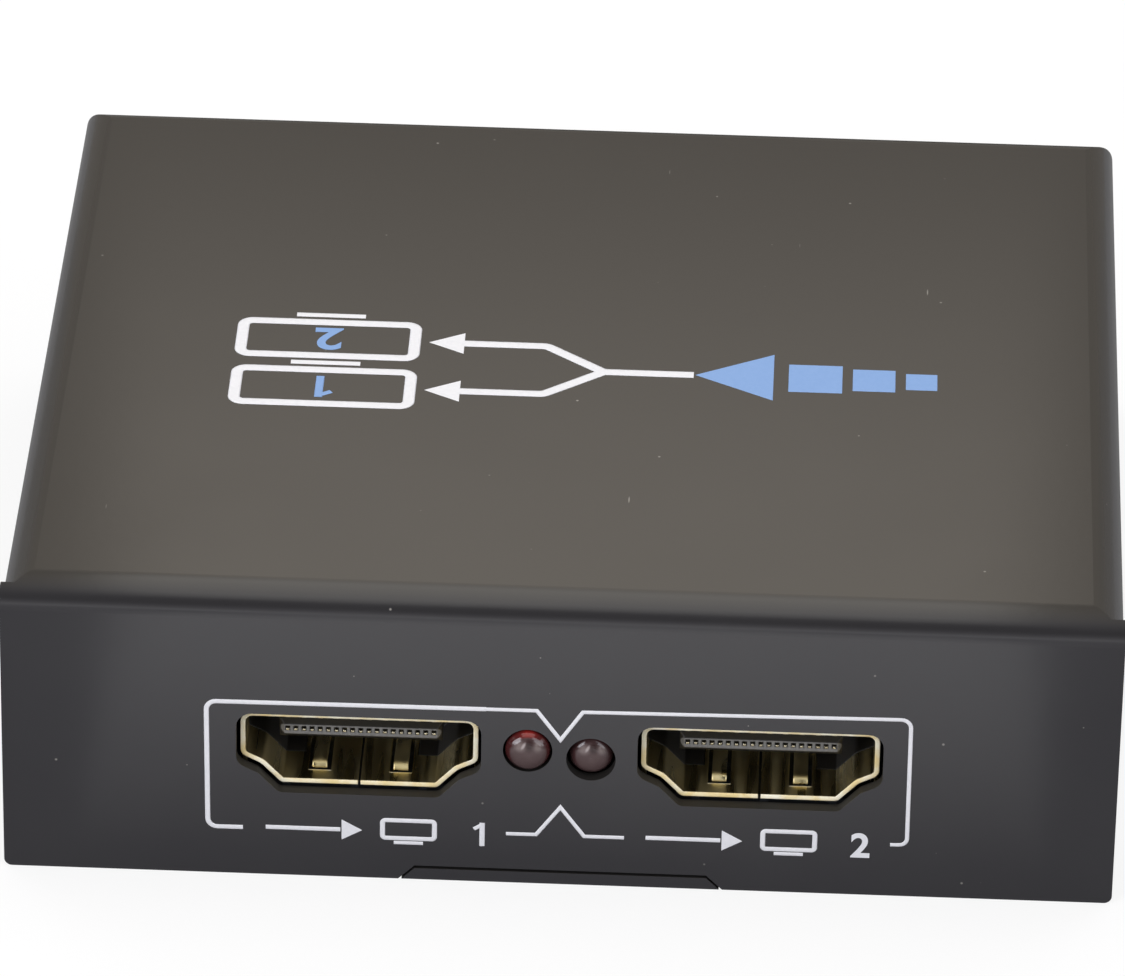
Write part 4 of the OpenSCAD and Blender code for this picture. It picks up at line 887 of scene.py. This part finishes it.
def set_levels(ramp, levels, full):
    """Sets a ramp's stops from pairs of a place and a level, its ends being the first and last place."""
    first = levels[0][0]
    span = levels[-1][0] - first
    stops = ramp.color_ramp.elements
    for spot, level in levels[1:-1]:
        stops.new((spot - first) / span)
    for stop, (spot, level) in zip(stops, levels):
        stop.color = (level / full, level / full, level / full, 1)


sheet_above = hang("overhead_sheet", sheet_size, sheet_place, 0)
sheet_above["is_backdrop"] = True
lit_above, tree, place = start("lit_white_paper_above")
axes = add(tree, "ShaderNodeSeparateXYZ", {}, {0: place})
along = add(tree, "ShaderNodeMapRange", {}, {
    "Value": axes.outputs["Y"],
    "From Min": sheet_levels[0][0] * MM, "From Max": sheet_levels[-1][0] * MM})
cloth = add(tree, "ShaderNodeValToRGB", {}, {0: along.outputs[0]})
set_levels(cloth, sheet_levels, sheet_full)
middle_x = add(tree, "ShaderNodeMath", {"operation": "SUBTRACT"}, {0: axes.outputs["X"], 1: sheet_place[0]})
aside = add(tree, "ShaderNodeMath", {"operation": "ABSOLUTE"}, {0: middle_x.outputs[0]})
fade = add(tree, "ShaderNodeMapRange", {"interpolation_type": "SMOOTHSTEP"}, {
    "Value": aside.outputs[0], "From Min": sheet_end[0], "From Max": sheet_end[1],
    "To Min": sheet_full, "To Max": sheet_end_share * sheet_full})
level = add(tree, "ShaderNodeMath", {"operation": "MULTIPLY"}, {0: cloth.outputs[0], 1: fade.outputs[0]})
glow = add(tree, "ShaderNodeEmission", {}, {"Color": linear("#fffdfa"), "Strength": level.outputs[0]})
add(tree, "ShaderNodeOutputMaterial", {}, {"Surface": glow.outputs[0]})
sheet_above.data.materials.append(lit_above)

# Studio light
# A tent that is brightest overhead, dim behind but less so at both sides, and nearly dark low in front, with
# a softbox on each side of the front that gives the lamps and gold rims their highlights and two weaker,
# lower ones that show the rear without mirroring in the top's edges.
# Degrees from the front horizon up and over to the rear, each with the tent's level there.
tent_levels = ((0, 0.25), (10, 0.1), (16, 0.0), (38, 0.0), (46, 0.8), (58, 0.95), (70, 1.15), (84, 1.6),
               (112, 1.75), (132, 0.9), (148, 0.2), (180, 0.2))
tent_full = 2.0
tent_narrowing = (0.15, 0.85)
tent_side_share = 0.55
rear_sides = (0.22, 0.42)
rear_side_level = 0.1
rear_begins = (0.5, 0.8)
world = bpy.data.worlds.new("studio_tent")
bpy.context.scene.world = world
world.use_nodes = True
tree = world.node_tree
tree.nodes.clear()
way = add(tree, "ShaderNodeTexCoord")
axes = add(tree, "ShaderNodeSeparateXYZ", {}, {0: way.outputs["Generated"]})
ahead = add(tree, "ShaderNodeMath", {"operation": "MULTIPLY"}, {0: axes.outputs["Y"], 1: -1.0})
sweep = add(tree, "ShaderNodeMath", {"operation": "ARCTAN2"}, {0: axes.outputs["Z"], 1: ahead.outputs[0]})
over = add(tree, "ShaderNodeMapRange", {}, {"Value": sweep.outputs[0], "From Min": 0.0, "From Max": math.pi})
cloth = add(tree, "ShaderNodeValToRGB", {}, {0: over.outputs[0]})
set_levels(cloth, tent_levels, tent_full)
aside = add(tree, "ShaderNodeMath", {"operation": "ABSOLUTE"}, {0: axes.outputs["X"]})
narrow = add(tree, "ShaderNodeMapRange", {"interpolation_type": "SMOOTHSTEP"}, {
    "Value": aside.outputs[0], "From Min": tent_narrowing[0], "From Max": tent_narrowing[1],
    "To Min": tent_full, "To Max": tent_side_share * tent_full})
level = add(tree, "ShaderNodeMath", {"operation": "MULTIPLY"}, {0: cloth.outputs[0], 1: narrow.outputs[0]})
sides = add(tree, "ShaderNodeMapRange", {"interpolation_type": "SMOOTHSTEP"}, {
    "Value": aside.outputs[0], "From Min": rear_sides[0], "From Max": rear_sides[1],
    "To Min": 0.0, "To Max": rear_side_level})
behind = add(tree, "ShaderNodeMapRange", {"interpolation_type": "SMOOTHSTEP"}, {
    "Value": axes.outputs["Y"], "From Min": rear_begins[0], "From Max": rear_begins[1]})
level = add(tree, "ShaderNodeMath", {"operation": "MULTIPLY_ADD"}, {
    0: sides.outputs[0], 1: behind.outputs[0], 2: level.outputs[0]})
ray = add(tree, "ShaderNodeLightPath")
direct = add(tree, "ShaderNodeMath", {"operation": "MAXIMUM"}, {
    0: ray.outputs["Is Camera Ray"], 1: ray.outputs["Is Transmission Ray"]})
shown = add(tree, "ShaderNodeMix", {"data_type": "FLOAT"}, {
    0: direct.outputs[0], 2: level.outputs[0], 3: 1.0})
tent = add(tree, "ShaderNodeBackground", {}, {"Color": linear("#fffdfa"), "Strength": shown.outputs[0]})
add(tree, "ShaderNodeOutputWorld", {}, {"Surface": tent.outputs[0]})

aim = Vector((0, 0, 10 * MM))
for name, spot, width, power in (
        ("left_softbox", (-0.62, -0.68, 0.28), 0.55, 6.0),
        ("right_softbox", (0.66, -0.64, 0.26), 0.85, 5.1),
        ("rear_left_softbox", (-0.62, 0.70, 0.14), 0.5, 3.2),
        ("rear_right_softbox", (0.62, 0.70, 0.14), 0.5, 3.2)):
    bpy.ops.object.light_add(type="AREA", location=spot)
    lamp = bpy.context.object
    lamp.name = name
    lamp.data.size = width
    lamp.data.energy = power
    lamp.data.color = linear("#f5f7ff")[:3]
    lamp.rotation_euler = (aim - Vector(spot)).to_track_quat("-Z", "Y").to_euler()
    lamp.visible_camera = False
    lamp.visible_glossy = spot[1] < 0

# Camera
# A long lens about 0.58 m away, 31 degrees above the table, a little right of square and turned left, and
# rolled by one degree, as in the photograph.
eye = Vector((14.6716, -493.9200, 306.9199)) * MM
turn_left = math.radians(1.8237)
dip = math.radians(30.9838)
roll = math.radians(0.9971)
bpy.ops.object.camera_add()
camera = bpy.context.object
camera.matrix_world = (
    Matrix.Translation(eye) @ Matrix.Rotation(turn_left, 4, "Z")
    @ Matrix.Rotation(math.pi / 2 - dip, 4, "X") @ Matrix.Rotation(roll, 4, "Z"))
camera.data.sensor_fit = "HORIZONTAL"
camera.data.sensor_width = 36
camera.data.lens = 288
camera.data.clip_start = 0.01
camera.data.clip_end = 50
bpy.context.scene.camera = camera

# The box of the dressed part; the box of the solids was taken after the import.
low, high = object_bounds()
